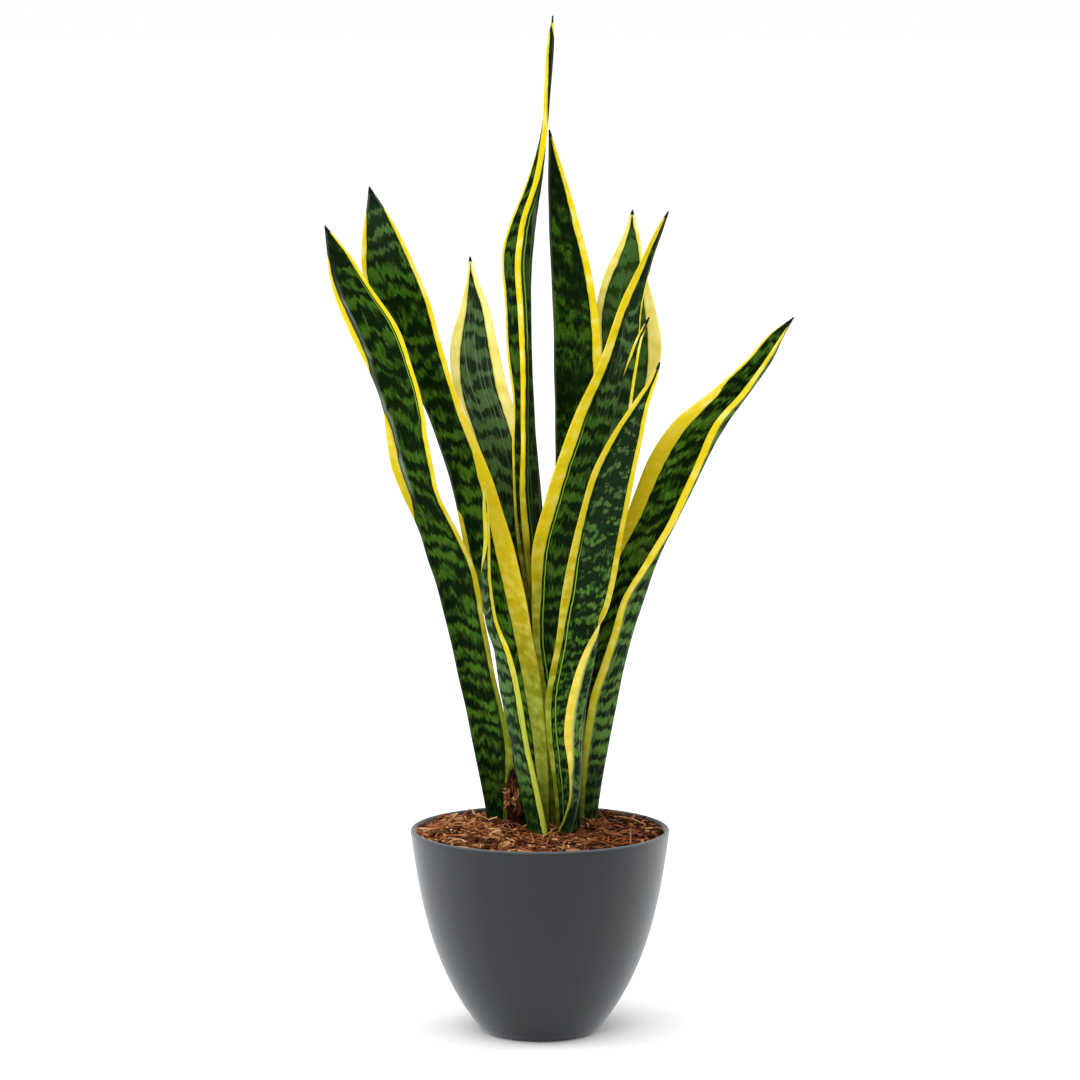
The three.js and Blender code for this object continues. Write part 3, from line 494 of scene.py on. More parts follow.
def leaf_material(name, look):
    """Dark green with feathered lighter cross bands, inside yellow margins that turn olive low down."""
    t = Tree(name)
    across, along = t.uv("pattern")
    seed = look["seed"] * 53.7
    along = t.add(along, seed)
    away, rise, to_tip = t.attribute("away"), t.attribute("rise"), t.attribute("to_tip")

    def grain(wide, long, shift=0.0, detail=2.0, roughness=0.5):
        """Noise over the leaf, with its scale across and along."""
        vector = t.join(t.times(across, wide), t.times(along, long), seed + shift)
        return t.noise(vector, 1.0, detail, roughness)

    def by_side(near, far):
        """One value on the face turned to the front, another on the face turned away."""
        return t.add(t.times(away, far - near), near)

    # The bands: a wave along the leaf, shifted by sway and by lengthwise teeth
    nicks = grain(1.2, 0.16)
    swayed = t.add(t.attribute("phase"), t.swing(grain(0.055, 0.033), 2.2))
    phase = t.add(swayed, t.swing(grain(0.4, 0.035, 0.0, 3.0, 0.65), look["teeth"]))
    phase = t.add(phase, t.swing(nicks, 0.5))
    wave = t.math("SINE", t.times(phase, 2 * math.pi))
    cloud = grain(0.04, 0.028, 4.0, 1.0)
    level = t.add(t.times(wave, by_side(*look["banded"])), t.swing(grain(0.13, 0.085, 9.0, 3.0, 0.6), 1.3))
    level = t.add(level, t.swing(cloud, 0.9))
    level = t.add(level, t.step(rise, 40.0, 330.0, 0.08, -0.02 - look["dark"]))
    reach, depth = look["tip"]
    level = t.add(level, t.step(to_tip, reach, 10.0, 0.0, -depth))
    if "lace" in look:
        warp = t.swing(nicks, 1.3)
        y = t.add(t.times(along, 0.22), t.times(warp, 0.7))
        cells = t.nodes.new("ShaderNodeTexVoronoi")
        t.put(cells.inputs["Vector"], t.join(t.add(t.times(across, 0.2), warp), y, seed))
        cells.inputs["Scale"].default_value = 1.0
        scales = t.step(cells.outputs["Distance"], 0.25, 0.7, 0.3, -0.45)
        level = t.add(level, t.times(t.step(rise, 400.0, 320.0, 0.0, look["lace"]), scales))
    light = t.add(t.step(level, -0.3, -0.06, 0.0, 0.3), t.step(level, -0.07, 0.06, 0.0, 0.7))
    vivid = grain(0.3, 0.12, 3.0, 3.0)
    core = t.add(level, t.swing(vivid, 1.6))
    most = min(1.0, look["bright"] + 0.35)
    bright = t.times(t.step(core, 0.12, 0.5), t.step(rise, 60.0, 360.0, most, look["bright"]))
    green = t.mix(bright, MID_GREEN, BRIGHT_GREEN)
    green = t.mix(t.step(t.add(vivid, t.add(cloud, -0.5)), 0.56, 0.3, 0.0, 0.6), green, DARK_GREEN)
    green = t.mix(light, DARK_GREEN, green)
    if "flat" in look:
        green = t.mix(t.step(rise, 250.0, 380.0, 0.0, look["flat"]), green, MID_GREEN)

    # Painted sheen: a greyer green on some faces, standing in for gloss, in lengthwise streaks
    streak = grain(0.55, 0.012, 5.0, 3.0)
    painted_sheen = t.times(by_side(*look["grey"]), t.step(streak, 0.28, 0.62, 0.5, 1.0))
    low, high, rest = look["fading"]
    painted_sheen = t.times(painted_sheen, t.step(rise, low, high, rest, 1.0))
    if "ash" in look:
        painted_sheen = t.add(painted_sheen, t.step(to_tip, look["ash"], 20.0, 0.0, 0.55))
    green = t.mix(painted_sheen, green, t.mix(t.step(level, -0.12, 0.12), GREY_DARK, GREY_LIGHT))
    green = t.mix(t.step(to_tip, 26.0, 8.0), green, TIP_GREEN)
    if "streaks" in look:
        low, high, near, far = look["streaks"]
        lines = t.step(grain(0.9, 0.006, 2.0, 1.0), 0.56, 0.7)
        lines = t.times(lines, t.times(by_side(near, far), t.step(rise, low, high)))
        green = t.mix(lines, green, STREAK_PALE)

    # Beside the margins, which are measured from their inner boundaries
    wobble = t.swing(grain(0.1, 0.11), 1.4)
    sides = {side: t.add(t.attribute("inside_" + side), wobble) for side in ("left", "right")}
    inside = t.math("MINIMUM", sides["left"], sides["right"])
    dark_line = t.between(inside, -0.1, 0.4, 0.6, 1.3)
    if "halo" in look:
        halo = t.times(t.step(inside, 2.6, 0.2, 0.0, look["halo"]), t.step(rise, 30.0, 85.0, 0.15, 1.0))
        green = t.mix(t.times(away, halo), green, HALO)
        dark_line = t.times(dark_line, by_side(1.0, 0.0))
    green = t.mix(t.times(dark_line, 0.8), green, DARK_GREEN)
    if "shade" in look:
        green = t.mix(t.times(away, look["shade"]), green, SHADE)
    for side, strength, low, high, first, last in look["lime"]:
        first, last = first - FOOT_HEIGHT, last - FOOT_HEIGHT
        offset = t.add(sides[side], t.step(rise, 30.0, 260.0, -low, -high))
        line = t.between(offset, -0.5, 0.0, 0.4, 0.9)
        line = t.times(line, t.between(rise, first - 8, first + 20, last - 20, last + 20))
        flank = t.between(offset, -1.6, -1.1, 1.5, 2.1)
        green = t.mix(t.times(flank, 0.6 * strength), green, DARK_GREEN)
        green = t.mix(t.times(line, strength), green, LIME)
    # Painted highlight: grey glint lines beside a margin, along a fold
    for side, distance, width, first, last, strength in look["glint"]:
        first, last = first - FOOT_HEIGHT, last - FOOT_HEIGHT
        line = t.between(t.add(sides[side], -distance), -width / 2, 0.0, 0.0, width / 2)
        line = t.times(line, t.between(rise, first, first + 60, last - 60, last))
        line = t.times(line, t.step(t.add(cloud, t.swing(streak, 0.5)), 0.4, 0.6, 0.35, 1.0))
        green = t.mix(t.times(line, strength), green, GLINT)
    # Painted sheen: grey along the rounded edges whose margin is absent
    bare = t.times(t.attribute("bare"), t.step(t.attribute("from_edge"), 2.4, 0.2))
    bare = t.times(bare, t.step(rise, 200.0, 340.0, 0.3, 1.0))
    green = t.mix(t.times(bare, look["edge"]), green, EDGE_GREY)

    # The yellow: paler in blotches, deeper lower down as partly painted shade, spotted low down, lime at its
    # inner side
    even = t.math("SINE", t.times(swayed, 2 * math.pi))
    blotch = t.add(grain(0.05, 0.06, 7.0), t.times(even, 0.06))
    fine = grain(0.8, 0.04, 1.0)
    low, high = 0.5 - 0.28 * look["pale"], 0.84 - 0.22 * look["pale"]
    pale = t.step(t.add(blotch, t.swing(fine, 0.25)), low, high)
    lightest = PALE_YELLOW
    if "calm" in look:
        pale = t.add(t.times(pale, 1.0 - look["calm"]), 0.75 * look["calm"])
        lightest = CREAM_YELLOW
    ripe = look.get("ripe")
    if ripe:
        pale = t.times(pale, t.step(rise, ripe[1], ripe[0], 0.5, 1.0))
    yellow = t.mix(t.times(pale, 0.6 + 0.4 * look["pale"]), GOLD, lightest)
    # Deep gold lower down: partly the margin's own colour, partly painted shade
    if ripe:
        yellow = t.mix(t.times(t.step(rise, ripe[0], ripe[1]), by_side(*ripe[2:])), yellow, DEEP_GOLD)
    yellow = t.mix(t.times(t.step(blotch, 0.46, 0.2), 0.45 - 0.35 * look["pale"]), yellow, DEEP_GOLD)
    mottle = t.times(t.step(grain(0.1, 0.13, 6.0, 1.0), 0.36, 0.72), t.step(rise, 300.0, 190.0, 0.15, 1.0))
    mottle = t.times(mottle, look["mottle"])
    yellow = t.mix(mottle, yellow, MOTTLE_YELLOW)
    yellow = t.mix(t.step(inside, -2.2, -0.8, 0.0, 0.2), yellow, DEEP_GOLD)
    yellow = t.mix(t.step(inside, -0.9, -0.1, 0.0, 0.5), yellow, LIME)
    pallor = t.times(away, t.step(rise, 330.0, 230.0, 0.0, look["faded"]))
    yellow = t.mix(pallor, yellow, FADED_YELLOW)

    # The olive that it turns to on its way down
    turning = t.add(t.add(rise, t.swing(grain(0.05, 0.05), 90.0)), t.times(away, look["fresh"]))
    olive = look.get("foot") or t.mix(t.step(rise, 170.0, 90.0), BROWN_OLIVE, OLIVE)
    olive = t.mix(t.step(fine, 0.5, 0.7, 0.0, 0.6), olive, DARK_GREEN)
    olive = t.mix(t.step(t.add(blotch, t.times(fine, 0.12)), 0.5, 0.8, 0.0, 0.4), olive, OLIVE_SPOTS)
    olive = t.mix(t.times(mottle, 1.5), olive, OLIVE_MOTTLE)
    start, end = look["olive"]
    yellow = t.mix(t.step(turning, start, end, 0.0, 0.95), yellow, olive)
    if "veil" in look:
        yellow = t.mix(t.step(rise, 150.0, 235.0, 0.0, look["veil"]), yellow, VEIL)
    margin = t.step(inside, 0.2, -0.2)
    colour = t.mix(margin, green, yellow)

    # The needle tip, and painted shade darkening the foot
    cap = look["cap"]
    colour = t.mix(t.step(to_tip, cap, cap - 1.5), colour, TIP_GREEN)
    damp = t.times(t.step(rise, 75.0, 5.0, 0.0, 0.65), t.add(t.times(margin, look["damp"] - 1.0), 1.0))
    colour = t.mix(damp, colour, DARK_GREEN)

    ribs = grain(2.2, 0.02, 0.0, 3.0)
    t.bump(t.add(t.times(ribs, 0.7), t.times(vivid, 0.5)), 0.00025, 0.5)
    return t.finish(colour, t.add(t.times(streak, 0.16), 0.34), 0.02)


def smoothstep(value, low, high):
    t = np.clip((value - low) / (high - low), 0, 1)
    return t * t * (3 - 2 * t)


def steps_along(line):
    """The way gone along a line at each of its points."""
    return np.concatenate([[0], np.cumsum(np.linalg.norm(np.diff(line, axis=0), axis=1))])


def smooth_line(points, steps):
    """A uniform Catmull-Rom line through the points, with the ends carried on straight."""
    ends = np.vstack([2 * points[0] - points[1], points, 2 * points[-1] - points[-2]])
    out = []
    for i in range(1, len(ends) - 2):
        a, b, c, d = ends[i - 1:i + 3]
        for t in np.arange(steps) / steps:
            out.append(0.5 * (2 * b + (c - a) * t + (2 * a - 5 * b + 4 * c - d) * t * t
                              + (3 * b - a - 3 * c + d) * t ** 3))
    return np.array([*out, points[-1]])


def bent(left, rib, right, u):
    """Points of the level curve from the left edge over the rib to the right edge."""
    pull = 2 * rib - (left + right) / 2
    return (1 - u) ** 2 * left + 2 * u * (1 - u) * pull + u ** 2 * right


def leaf_rings(sections):
    """The middle surface of a leaf: its rings of points, and the level direction across at each."""
    rows = np.array([(*plan, height) for height, plan in sections.items()], float)
    root = rows[0] - (0, 0, 0, 0, 0, 0, ROOT_DEPTH)
    rows = np.vstack([root, rows])
    left, rib, right = (smooth_line(rows[:, [k, k + 1, 6]], RINGS_PER_SPAN)[:, None] for k in (0, 2, 4))
    u = np.linspace(0, 1, FACETS_ACROSS + 1)[None, :, None]
    points = bent(left, rib, right, u)
    pull = 2 * rib - (left + right) / 2
    level = (1 - u) * (pull - left) + u * (right - pull)
    level[..., 2] = 0
    level /= np.maximum(np.linalg.norm(level, axis=2, keepdims=True), 1e-9)
    chord = np.linalg.norm(left - rib, axis=2) + np.linalg.norm(rib - right, axis=2)
    return points, level, chord


def half_thickness(points, chord):
    rise = smoothstep(points[..., 2], FOOT_HEIGHT, FOOT_HEIGHT + THINNING_HEIGHT)
    blade = BASE_THICKNESS + (BLADE_THICKNESS - BASE_THICKNESS) * rise
    middle = np.minimum(blade, EDGE_THICKNESS + chord * 0.12)
    bulge = np.sin(np.pi * np.linspace(0, 1, points.shape[1])) ** 0.8
    return (EDGE_THICKNESS + (middle - EDGE_THICKNESS) * bulge) / 2


def margin_width(points, gone, table, side, as_seen):
    """The margin's width along the surface, ring by ring. As seen, it is measured along X only."""
    width = np.interp(points[:, 0, 2], list(table), list(table.values()))
    if as_seen:
        from_right = side == "right"
        x = np.abs(points[..., 0] - points[:, -1 if from_right else 0, :1])
        way = gone[:, -1:] - gone if from_right else gone
        for i in np.flatnonzero(width >= 0):
            order = np.argsort(way[i])
            seen = np.maximum.accumulate(x[i][order]) + np.arange(len(order)) * 1e-6
            width[i] = min(np.interp(width[i], seen, way[i][order]), 1.6 * width[i] + 0.3)
    return width[:, None]


def ring_quads(rings, around, first=0):
    faces = []
    for start in range(first, first + (rings - 1) * around, around):
        for j in range(around):
            a, b = start + j, start + (j + 1) % around
            faces.append((a, b, b + around, a + around))
    return faces


def closed_rings(rings, around, low, high):
    """Quads between closed rings of vertices, and fans to one vertex below and one above."""
    faces = ring_quads(rings, around)
    last = (rings - 1) * around
    for j in range(around):
        k = (j + 1) % around
        faces += [(last + j, last + k, high), (k, j, low)]
    return faces


def attribute(mesh, name, values):
    made = mesh.attributes.new(name, "FLOAT", "POINT")
    made.data.foreach_set("value", np.asarray(values, np.float32).ravel())


def uv_layer(mesh, name, per_vertex):
    """A UV map with one place for each vertex."""
    layer = mesh.uv_layers.new(name=name, do_init=False)
    corners = np.zeros(len(mesh.loops), np.int32)
    mesh.loops.foreach_get("vertex_index", corners)
    layer.uv.foreach_set("vector", np.asarray(per_vertex, np.float32)[corners].ravel())


def add_object(name, data, place=(0, 0, 0), turn=(0, 0, 0)):
    made = bpy.data.objects.new(name, data)
    made.location = place
    made.rotation_euler = turn
    bpy.context.scene.collection.objects.link(made)
    return made


def new_piece(name, vertices, faces, material, slot, smooth=True):
    mesh = bpy.data.meshes.new(name)
    mesh.from_pydata((np.asarray(vertices) * MM).tolist(), [], faces)
    mesh.materials.append(material)
    mesh.polygons.foreach_set("use_smooth", [smooth] * len(mesh.polygons))
    mesh.update()
    piece = add_object(name, mesh)
    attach(piece, "root")
    return piece


def make_leaf(name):
    look = {**PLAIN_LOOK, **LOOKS[name]}
    seed = look["seed"]
    points, level, chord = leaf_rings(LEAF_SECTIONS[name])
    rings, columns = points.shape[:2]
    last = columns - 1
    side = np.stack([level[..., 1], -level[..., 0], np.zeros((rings, columns))], axis=2)
    gone = np.zeros((rings, columns))
    gone[:, 1:] = np.cumsum(np.linalg.norm(np.diff(points, axis=1), axis=2), axis=1)
    wide = gone[:, -1:]
    middle = points[:, columns // 2]
    climb = steps_along(middle)
    to_tip = climb[-1] - climb
    rise = climb - np.interp(FOOT_HEIGHT, middle[:, 2], climb)

    # A slight wave along both edges and faint lengthwise flutes, all within the blade's own skin
    share = gone / np.maximum(wide, 1e-6)
    steady = (smoothstep(rise, 20, 120) * smoothstep(to_tip, 15, 90))[:, None]
    wave = EDGE_WAVE * np.sin(climb / 17.0 + seed)[:, None] * (2 * share - 1) ** 2
    twist = EDGE_TWIST * np.sin(climb / 9.0 + seed * 2.1)[:, None] * (share ** 4 - (1 - share) ** 4)
    flute = FLUTE_DEPTH * np.sin(gone * 1.9 + seed) * smoothstep(np.minimum(gone, wide - gone), 1, 5)
    skin = side * (half_thickness(points, chord) + flute * steady)[..., None]
    centre = points + side * ((wave + twist) * steady)[..., None]
    right_rim = centre[:, last] + level[:, last] * EDGE_ROUNDING
    left_rim = centre[:, 0] - level[:, 0] * EDGE_ROUNDING

    # One ring runs along the front, round the right edge, back behind, and round the left edge
    back = (centre - skin)[:, ::-1]
    ring = np.concatenate([centre + skin, right_rim[:, None], back, left_rim[:, None]], axis=1)
    around = ring.shape[1]
    count = rings * around
    column = np.concatenate([np.arange(columns), [last], np.arange(last, -1, -1), [0]])
    away = np.concatenate([np.zeros(columns), [0.5], np.ones(columns), [0.5]])
    ends = (ring[-1].mean(axis=0) + (0, 0, TIP_POINT), ring[0].mean(axis=0))
    vertices = np.vstack([ring.reshape(-1, 3), *ends])
    faces = closed_rings(rings, around, count + 1, count)
    leaf = new_piece(name + "_blade", vertices, faces, leaf_material(name + "_skin", look), "leaf")
    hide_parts(name)

    # How far each vertex lies inside the margins, and which edges of the near face are bare
    tables = MARGINS[name]
    values, near = {}, {}
    from_side = {"left": gone[:, column], "right": wide - gone[:, column]}
    for edge, end_column in (("left", 0), ("right", last)):
        near[edge] = margin_width(points, gone, tables[edge], edge, True)
        seen = tables.get("seen_" + edge)
        far = margin_width(points, gone, seen or tables.get("away_" + edge, PLAIN), edge, bool(seen))
        inside = from_side[edge] - np.where(away < 0.5, near[edge], far)
        rim = np.where(near[edge] < 0, -near[edge], -far)
        values["inside_" + edge] = np.where((away == 0.5) & (column == end_column), rim, inside)
    left_nearer = from_side["left"] < from_side["right"]
    absent = np.where(left_nearer, near["left"] < 0, near["right"] < 0)

    # Where each ring lies in the wave of bands, whose spacing grows from the foot up
    spacing = FOOT_BAND_SPACING + (look["period"] - FOOT_BAND_SPACING) * smoothstep(rise, 40, 330)
    phase = np.concatenate([[0], np.cumsum(np.diff(climb) / (spacing[1:] + spacing[:-1]) * 2)])
    s = from_side["left"] - wide / 2 + away * FAR_PATTERN_SHIFT
    slope = look["slope"] * (1 - away) + look.get("far_slope", look["slope"]) * away
    phase = phase[:, None] * (1 - look["far_stretch"] * away) + slope * s / spacing[:, None]

    def with_ends(given):
        given = np.asarray(given, float) + np.zeros((rings, around))
        return np.concatenate([given.ravel(), [given[-1].mean(), given[0].mean()]])

    values.update({
        "away": away, "rise": rise[:, None], "to_tip": to_tip[:, None], "phase": phase,
        "bare": np.where(away < 0.5, absent, 0),
        "from_edge": np.minimum(from_side["left"], from_side["right"]),
    })
    for label, given in values.items():
        attribute(leaf.data, label, with_ends(given))
    uv_layer(leaf.data, "pattern", np.stack([with_ends(s), with_ends(climb[:, None])], axis=1))


def bowl_curve(steps):
    """The bowl's outer side from its foot to its rim, in radius and height."""
    t = np.linspace(0, 1, steps + 1)[:, None]
    p0 = np.array([BASE_RADIUS, 0.0])
    p1 = np.array([RIM_RADIUS * LOWER_PULL[0], POT_HEIGHT * LOWER_PULL[1]])
    p2 = np.array([RIM_RADIUS * UPPER_PULL[0], POT_HEIGHT * UPPER_PULL[1]])
    p3 = np.array([RIM_RADIUS, POT_HEIGHT - WALL / 2])
    return (1 - t) ** 3 * p0 + 3 * t * (1 - t) ** 2 * p1 + 3 * t * t * (1 - t) * p2 + t ** 3 * p3


BOWL = bowl_curve(200)


def bowl_radius(height):
    return np.interp(height, BOWL[:, 1], BOWL[:, 0])


def turned(profile, segments):
    """A closed body of revolution. The profile starts and ends on the axis."""
    profile = np.asarray(profile, float)
    angle = np.arange(segments) * 2 * math.pi / segments
    radius, height = profile[1:-1, :1], profile[1:-1, 1:]
    rings = np.stack([radius * np.cos(angle), radius * np.sin(angle), height + 0 * angle], axis=2)
    vertices = np.vstack([rings.reshape(-1, 3), (0, 0, profile[0, 1]), (0, 0, profile[-1, 1])])
    count = rings.shape[0] * segments
    return vertices, closed_rings(rings.shape[0], segments, count, count + 1)


def arc(centre, radius, angles):
    turns = [math.radians(a) for a in angles]
    return [(centre[0] + radius * math.cos(a), centre[1] + radius * math.sin(a)) for a in turns]


def pot_material():
    """Smooth anthracite plastic with a faint mould grain, and a painted highlight along the top of the rim.
    """
    t = Tree("pot_plastic")
    place = t.place()
    cloud = t.noise(place, 14.0, 3.0)
    grain = t.noise(place, 1400.0)
    colour = t.mix(t.step(cloud, 0.3, 0.7), (0.002, 0.004, 0.0065), (0.0035, 0.0055, 0.0085))
    # Painted highlight: a lighter blue-grey along the top of the rim
    height = t.node("SeparateXYZ", place).outputs[2]
    colour = t.mix(t.step(height, 0.1724, 0.1737), colour, (0.035, 0.045, 0.055))
    t.bump(t.add(t.times(grain, 0.5), t.times(cloud, 0.6)), 0.00006, 0.35)
    t.shader.inputs["Sheen Weight"].default_value = 0.58
    t.shader.inputs["Sheen Roughness"].default_value = 0.4
    t.shader.inputs["Sheen Tint"].default_value = (0.93, 0.97, 1.0, 1.0)
    return t.finish(colour, t.add(t.times(cloud, 0.1), 0.6), 0.5)


def make_pot():
    outer = bowl_curve(46)
    profile = [(0, 0), (BASE_RADIUS - FOOT_EDGE, 0)]
    profile += arc((BASE_RADIUS - FOOT_EDGE, FOOT_EDGE), FOOT_EDGE, np.linspace(-90, 0, 5)[1:-1])
    profile += [tuple(p) for p in outer[1:] if p[1] > FOOT_EDGE]
    profile += arc((RIM_RADIUS - WALL / 2, POT_HEIGHT - WALL / 2), WALL / 2, np.linspace(0, 180, 13)[1:])
    profile += [(p[0] - WALL, p[1]) for p in outer[-2::-1] if p[1] > FLOOR_THICKNESS + WALL]
    profile += [(bowl_radius(FLOOR_THICKNESS) - WALL, FLOOR_THICKNESS), (0, FLOOR_THICKNESS)]
    pot = new_piece("bowl_pot", *turned(profile, POT_SEGMENTS), pot_material(), "pot")
    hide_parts("pot")


def bark_height(radius):
    edge = bowl_radius(BARK_EDGE_HEIGHT) - WALL
    fall = smoothstep(radius, BARK_CROWN_RADIUS, edge)
    return BARK_CROWN_HEIGHT + (BARK_EDGE_HEIGHT - BARK_CROWN_HEIGHT) * fall


def bark_under(flat):
    return bark_height(np.linalg.norm(flat, axis=1))


def bark_material(name, dark, light, grain):
    """Shredded bark: every shred has its own tone, with fibres along it; the palest turn tan, partly as
    painted highlight.
    """
    t = Tree(name)
    x, y = t.uv("fibre")
    tone = t.attribute("tone")
    fibre = t.noise(t.join(t.times(x, 0.12), t.times(y, 2.4), t.times(tone, 40.0)), 1.0, 3.0, 0.6)
    share = t.add(t.times(tone, 0.75), t.swing(fibre, grain))
    share = t.add(share, t.swing(t.noise(t.place(), 260.0), 0.4))
    colour = t.mix(t.step(share, 0.05, 0.8), dark, light)
    # The palest shreds turn tan: partly their own pale fibres, partly a painted highlight
    tan = t.step(t.add(tone, t.times(fibre, 0.34)), 0.93, 1.12)
    colour = t.mix(tan, colour, (0.7, 0.39, 0.18))
    t.bump(fibre, 0.0004, 0.8)
    return t.finish(colour, t.add(t.times(fibre, 0.3), 0.4), 0.04)


class Pile:
    """Collects many small strips into one mesh."""

    def __init__(self):
        self.vertices, self.faces, self.tone, self.fibre = [], [], [], []

    def strip(self, path, widths, thickness, sideways, tone):
        """A closed strip along a path. sideways holds the direction across at each point."""
        path, sideways = np.asarray(path, float), np.asarray(sideways, float)
        ahead = np.gradient(path, axis=0)
        ahead /= np.linalg.norm(ahead, axis=1, keepdims=True)
        sideways = sideways - ahead * (sideways * ahead).sum(axis=1, keepdims=True)
        sideways /= np.linalg.norm(sideways, axis=1, keepdims=True)
        up = np.cross(ahead, sideways)
        widths = np.asarray(widths, float)[:, None]
        corners = ((1, -0.5), (0.72, 0.5), (-0.72, 0.5), (-1, -0.5))
        ring = np.stack([path + sideways * widths * a / 2 + up * thickness * b for a, b in corners], axis=1)
        start = len(self.tone)
        end = start + (len(path) - 1) * 4
        self.vertices.append(ring.reshape(-1, 3))
        self.faces += ring_quads(len(path), 4, start)
        self.faces.append((start + 3, start + 2, start + 1, start))
        self.faces.append((end, end + 1, end + 2, end + 3))
        self.tone += [tone] * (4 * len(path))
        for gone, width in zip(steps_along(path), widths[:, 0]):
            self.fibre += [(gone, a * width / 2 + b) for a, b in corners]

    def make(self, name, material):
        made = new_piece(name, np.vstack(self.vertices), self.faces, material, "mulch", smooth=False)
        attribute(made.data, "tone", self.tone)
        uv_layer(made.data, "fibre", self.fibre)
        return made


def curled(centre, heading, length):
    """A level path of this length round the centre, with its heading at each point."""
    step = length / (len(heading) - 1)
    flat = np.cumsum(np.stack([np.cos(heading), np.sin(heading)], axis=1) * step, axis=0)
    return flat + (centre - flat.mean(axis=0))


def rolled(heading, roll):
    """The direction across a path with this heading, rolled about it."""
    level = np.stack([-np.sin(heading), np.cos(heading)], axis=1) * math.cos(roll)
    return np.column_stack([level, np.full(len(heading), math.sin(roll))])


def make_bark():
    rng = np.random.default_rng(7)
    # Points along each leaf's foot in plan, to keep the shreds out of the leaves
    u = np.linspace(0, 1, 15)[:, None]
    plans = [np.reshape(sections[FOOT_HEIGHT], (3, 2)) for sections in LEAF_SECTIONS.values()]
    feet = np.vstack([bent(*plan, u) for plan in plans])
    golden = math.pi * (3 - math.sqrt(5))
    pile = Pile()
    s = np.linspace(-0.5, 0.5, SHRED_POINTS)
    for i in range(SHREDS):
        for attempt in range(SHRED_TRIES):
            reach = SHRED_CENTRES * math.sqrt((i + rng.uniform(0, 1)) / SHREDS)
            bearing = i * golden + rng.normal(0, 0.25)
            centre = np.array([reach * math.cos(bearing), reach * math.sin(bearing)])
            kind = rng.uniform()
            lengths, widths = next(k[1:] for k in SHRED_KINDS if kind < k[0])
            length, width = rng.uniform(*lengths), rng.uniform(*widths)
            yaw = rng.uniform(0, 2 * math.pi)
            curl = rng.normal(0, 2.3) * (1.0 if kind > 0.15 else 0.4)
            pitch = rng.normal(0, 0.2)
            roll = rng.normal(0, 0.8)
            heading = yaw + curl * s
            flat = curled(centre, heading, length)
            arch = rng.uniform(-0.3, 1.0) * (1 - 4 * s ** 2) * length * (0.16 if kind > 0.5 else 0.08)
            arch = arch + rng.normal(0, 0.022) * length * np.sin(2 * math.pi * (1.3 * s + rng.uniform()))
            clump = 1.3 * math.sin(centre[0] * 0.17 + 2 * math.sin(centre[1] * 0.07))
            clump *= math.sin(centre[1] * 0.2 + 1.0)
            z = bark_under(flat) + rng.uniform(-3.0, 1.9) + clump + arch + pitch * s * length
            if np.linalg.norm(flat, axis=1).max() > SHRED_REACH:
                continue
            near = np.linalg.norm(flat[:, None] - feet[None], axis=2).min()
            if near < LEAF_CLEARANCE + width / 2 and attempt < SHRED_TRIES - 1:
                continue
            if near < LEAST_CLEARANCE:
                continue
            taper = 1 - np.abs(2 * s) ** 3 * rng.uniform(0.3, 0.9)
            ragged = 1 + rng.normal(0, 0.1, SHRED_POINTS)
            # Painted shade: shreds further right are darker; thin shreds get a little more tan, partly as
            # painted highlight
            tone = rng.beta(1.5, 1.9) + (0.06 if kind > 0.5 else 0.0) - 0.1 * np.clip(centre[0] / 50, -1, 1)
            pile.strip(np.column_stack([flat, z]), width * taper * ragged, SHRED_THICKNESS,
                       rolled(heading, roll), float(np.clip(tone, 0, 1)))
            break
    bark = pile.make("bark_shreds", bark_material("bark", (0.018, 0.0035, 0.0008), (0.44, 0.155, 0.052), 0.9))
    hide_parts("bark_mulch")

    # The bed below the loose shreds
    edge = bowl_radius(BARK_EDGE_HEIGHT) - WALL - BED_GAP
    radii = edge * (1 - np.linspace(0, 1, BED_RINGS) ** 1.2)
    profile = [(0, BARK_BOTTOM)]
    sides = np.linspace(BARK_BOTTOM, BARK_EDGE_HEIGHT - BED_EDGE_DEPTH, 4)
    profile += [(bowl_radius(height) - WALL - BED_GAP, height) for height in sides]
    profile += [(radius, bark_height(radius) - BED_DEPTH) for radius in radii[1:-1]]
    profile.append((0, BARK_CROWN_HEIGHT - BED_DEPTH))
    vertices, faces = turned(profile, BED_SEGMENTS)
    high = vertices[:, 2] > BARK_EDGE_HEIGHT - BED_EDGE_DEPTH - 0.3
    x, y = vertices[:, 0], vertices[:, 1]
    bumps = np.sin(x * 0.9 + 1.7 * np.sin(y * 0.31)) * np.sin(y * 1.1 + 1.3 * np.sin(x * 0.27))
    vertices[:, 2] += np.where(high, bumps * 0.9 + rng.normal(0, 0.25, len(x)), 0)
    material = bark_material("bark_fines", (0.012, 0.004, 0.002), (0.08, 0.026, 0.01), 0.9)
    bed = new_piece("bark_bed", vertices, faces, material, "mulch")
    attribute(bed.data, "tone", 0.5 + 0.5 * np.sin(x * 1.7) * np.sin(y * 1.9))
    uv_layer(bed.data, "fibre", np.column_stack([x, y]))


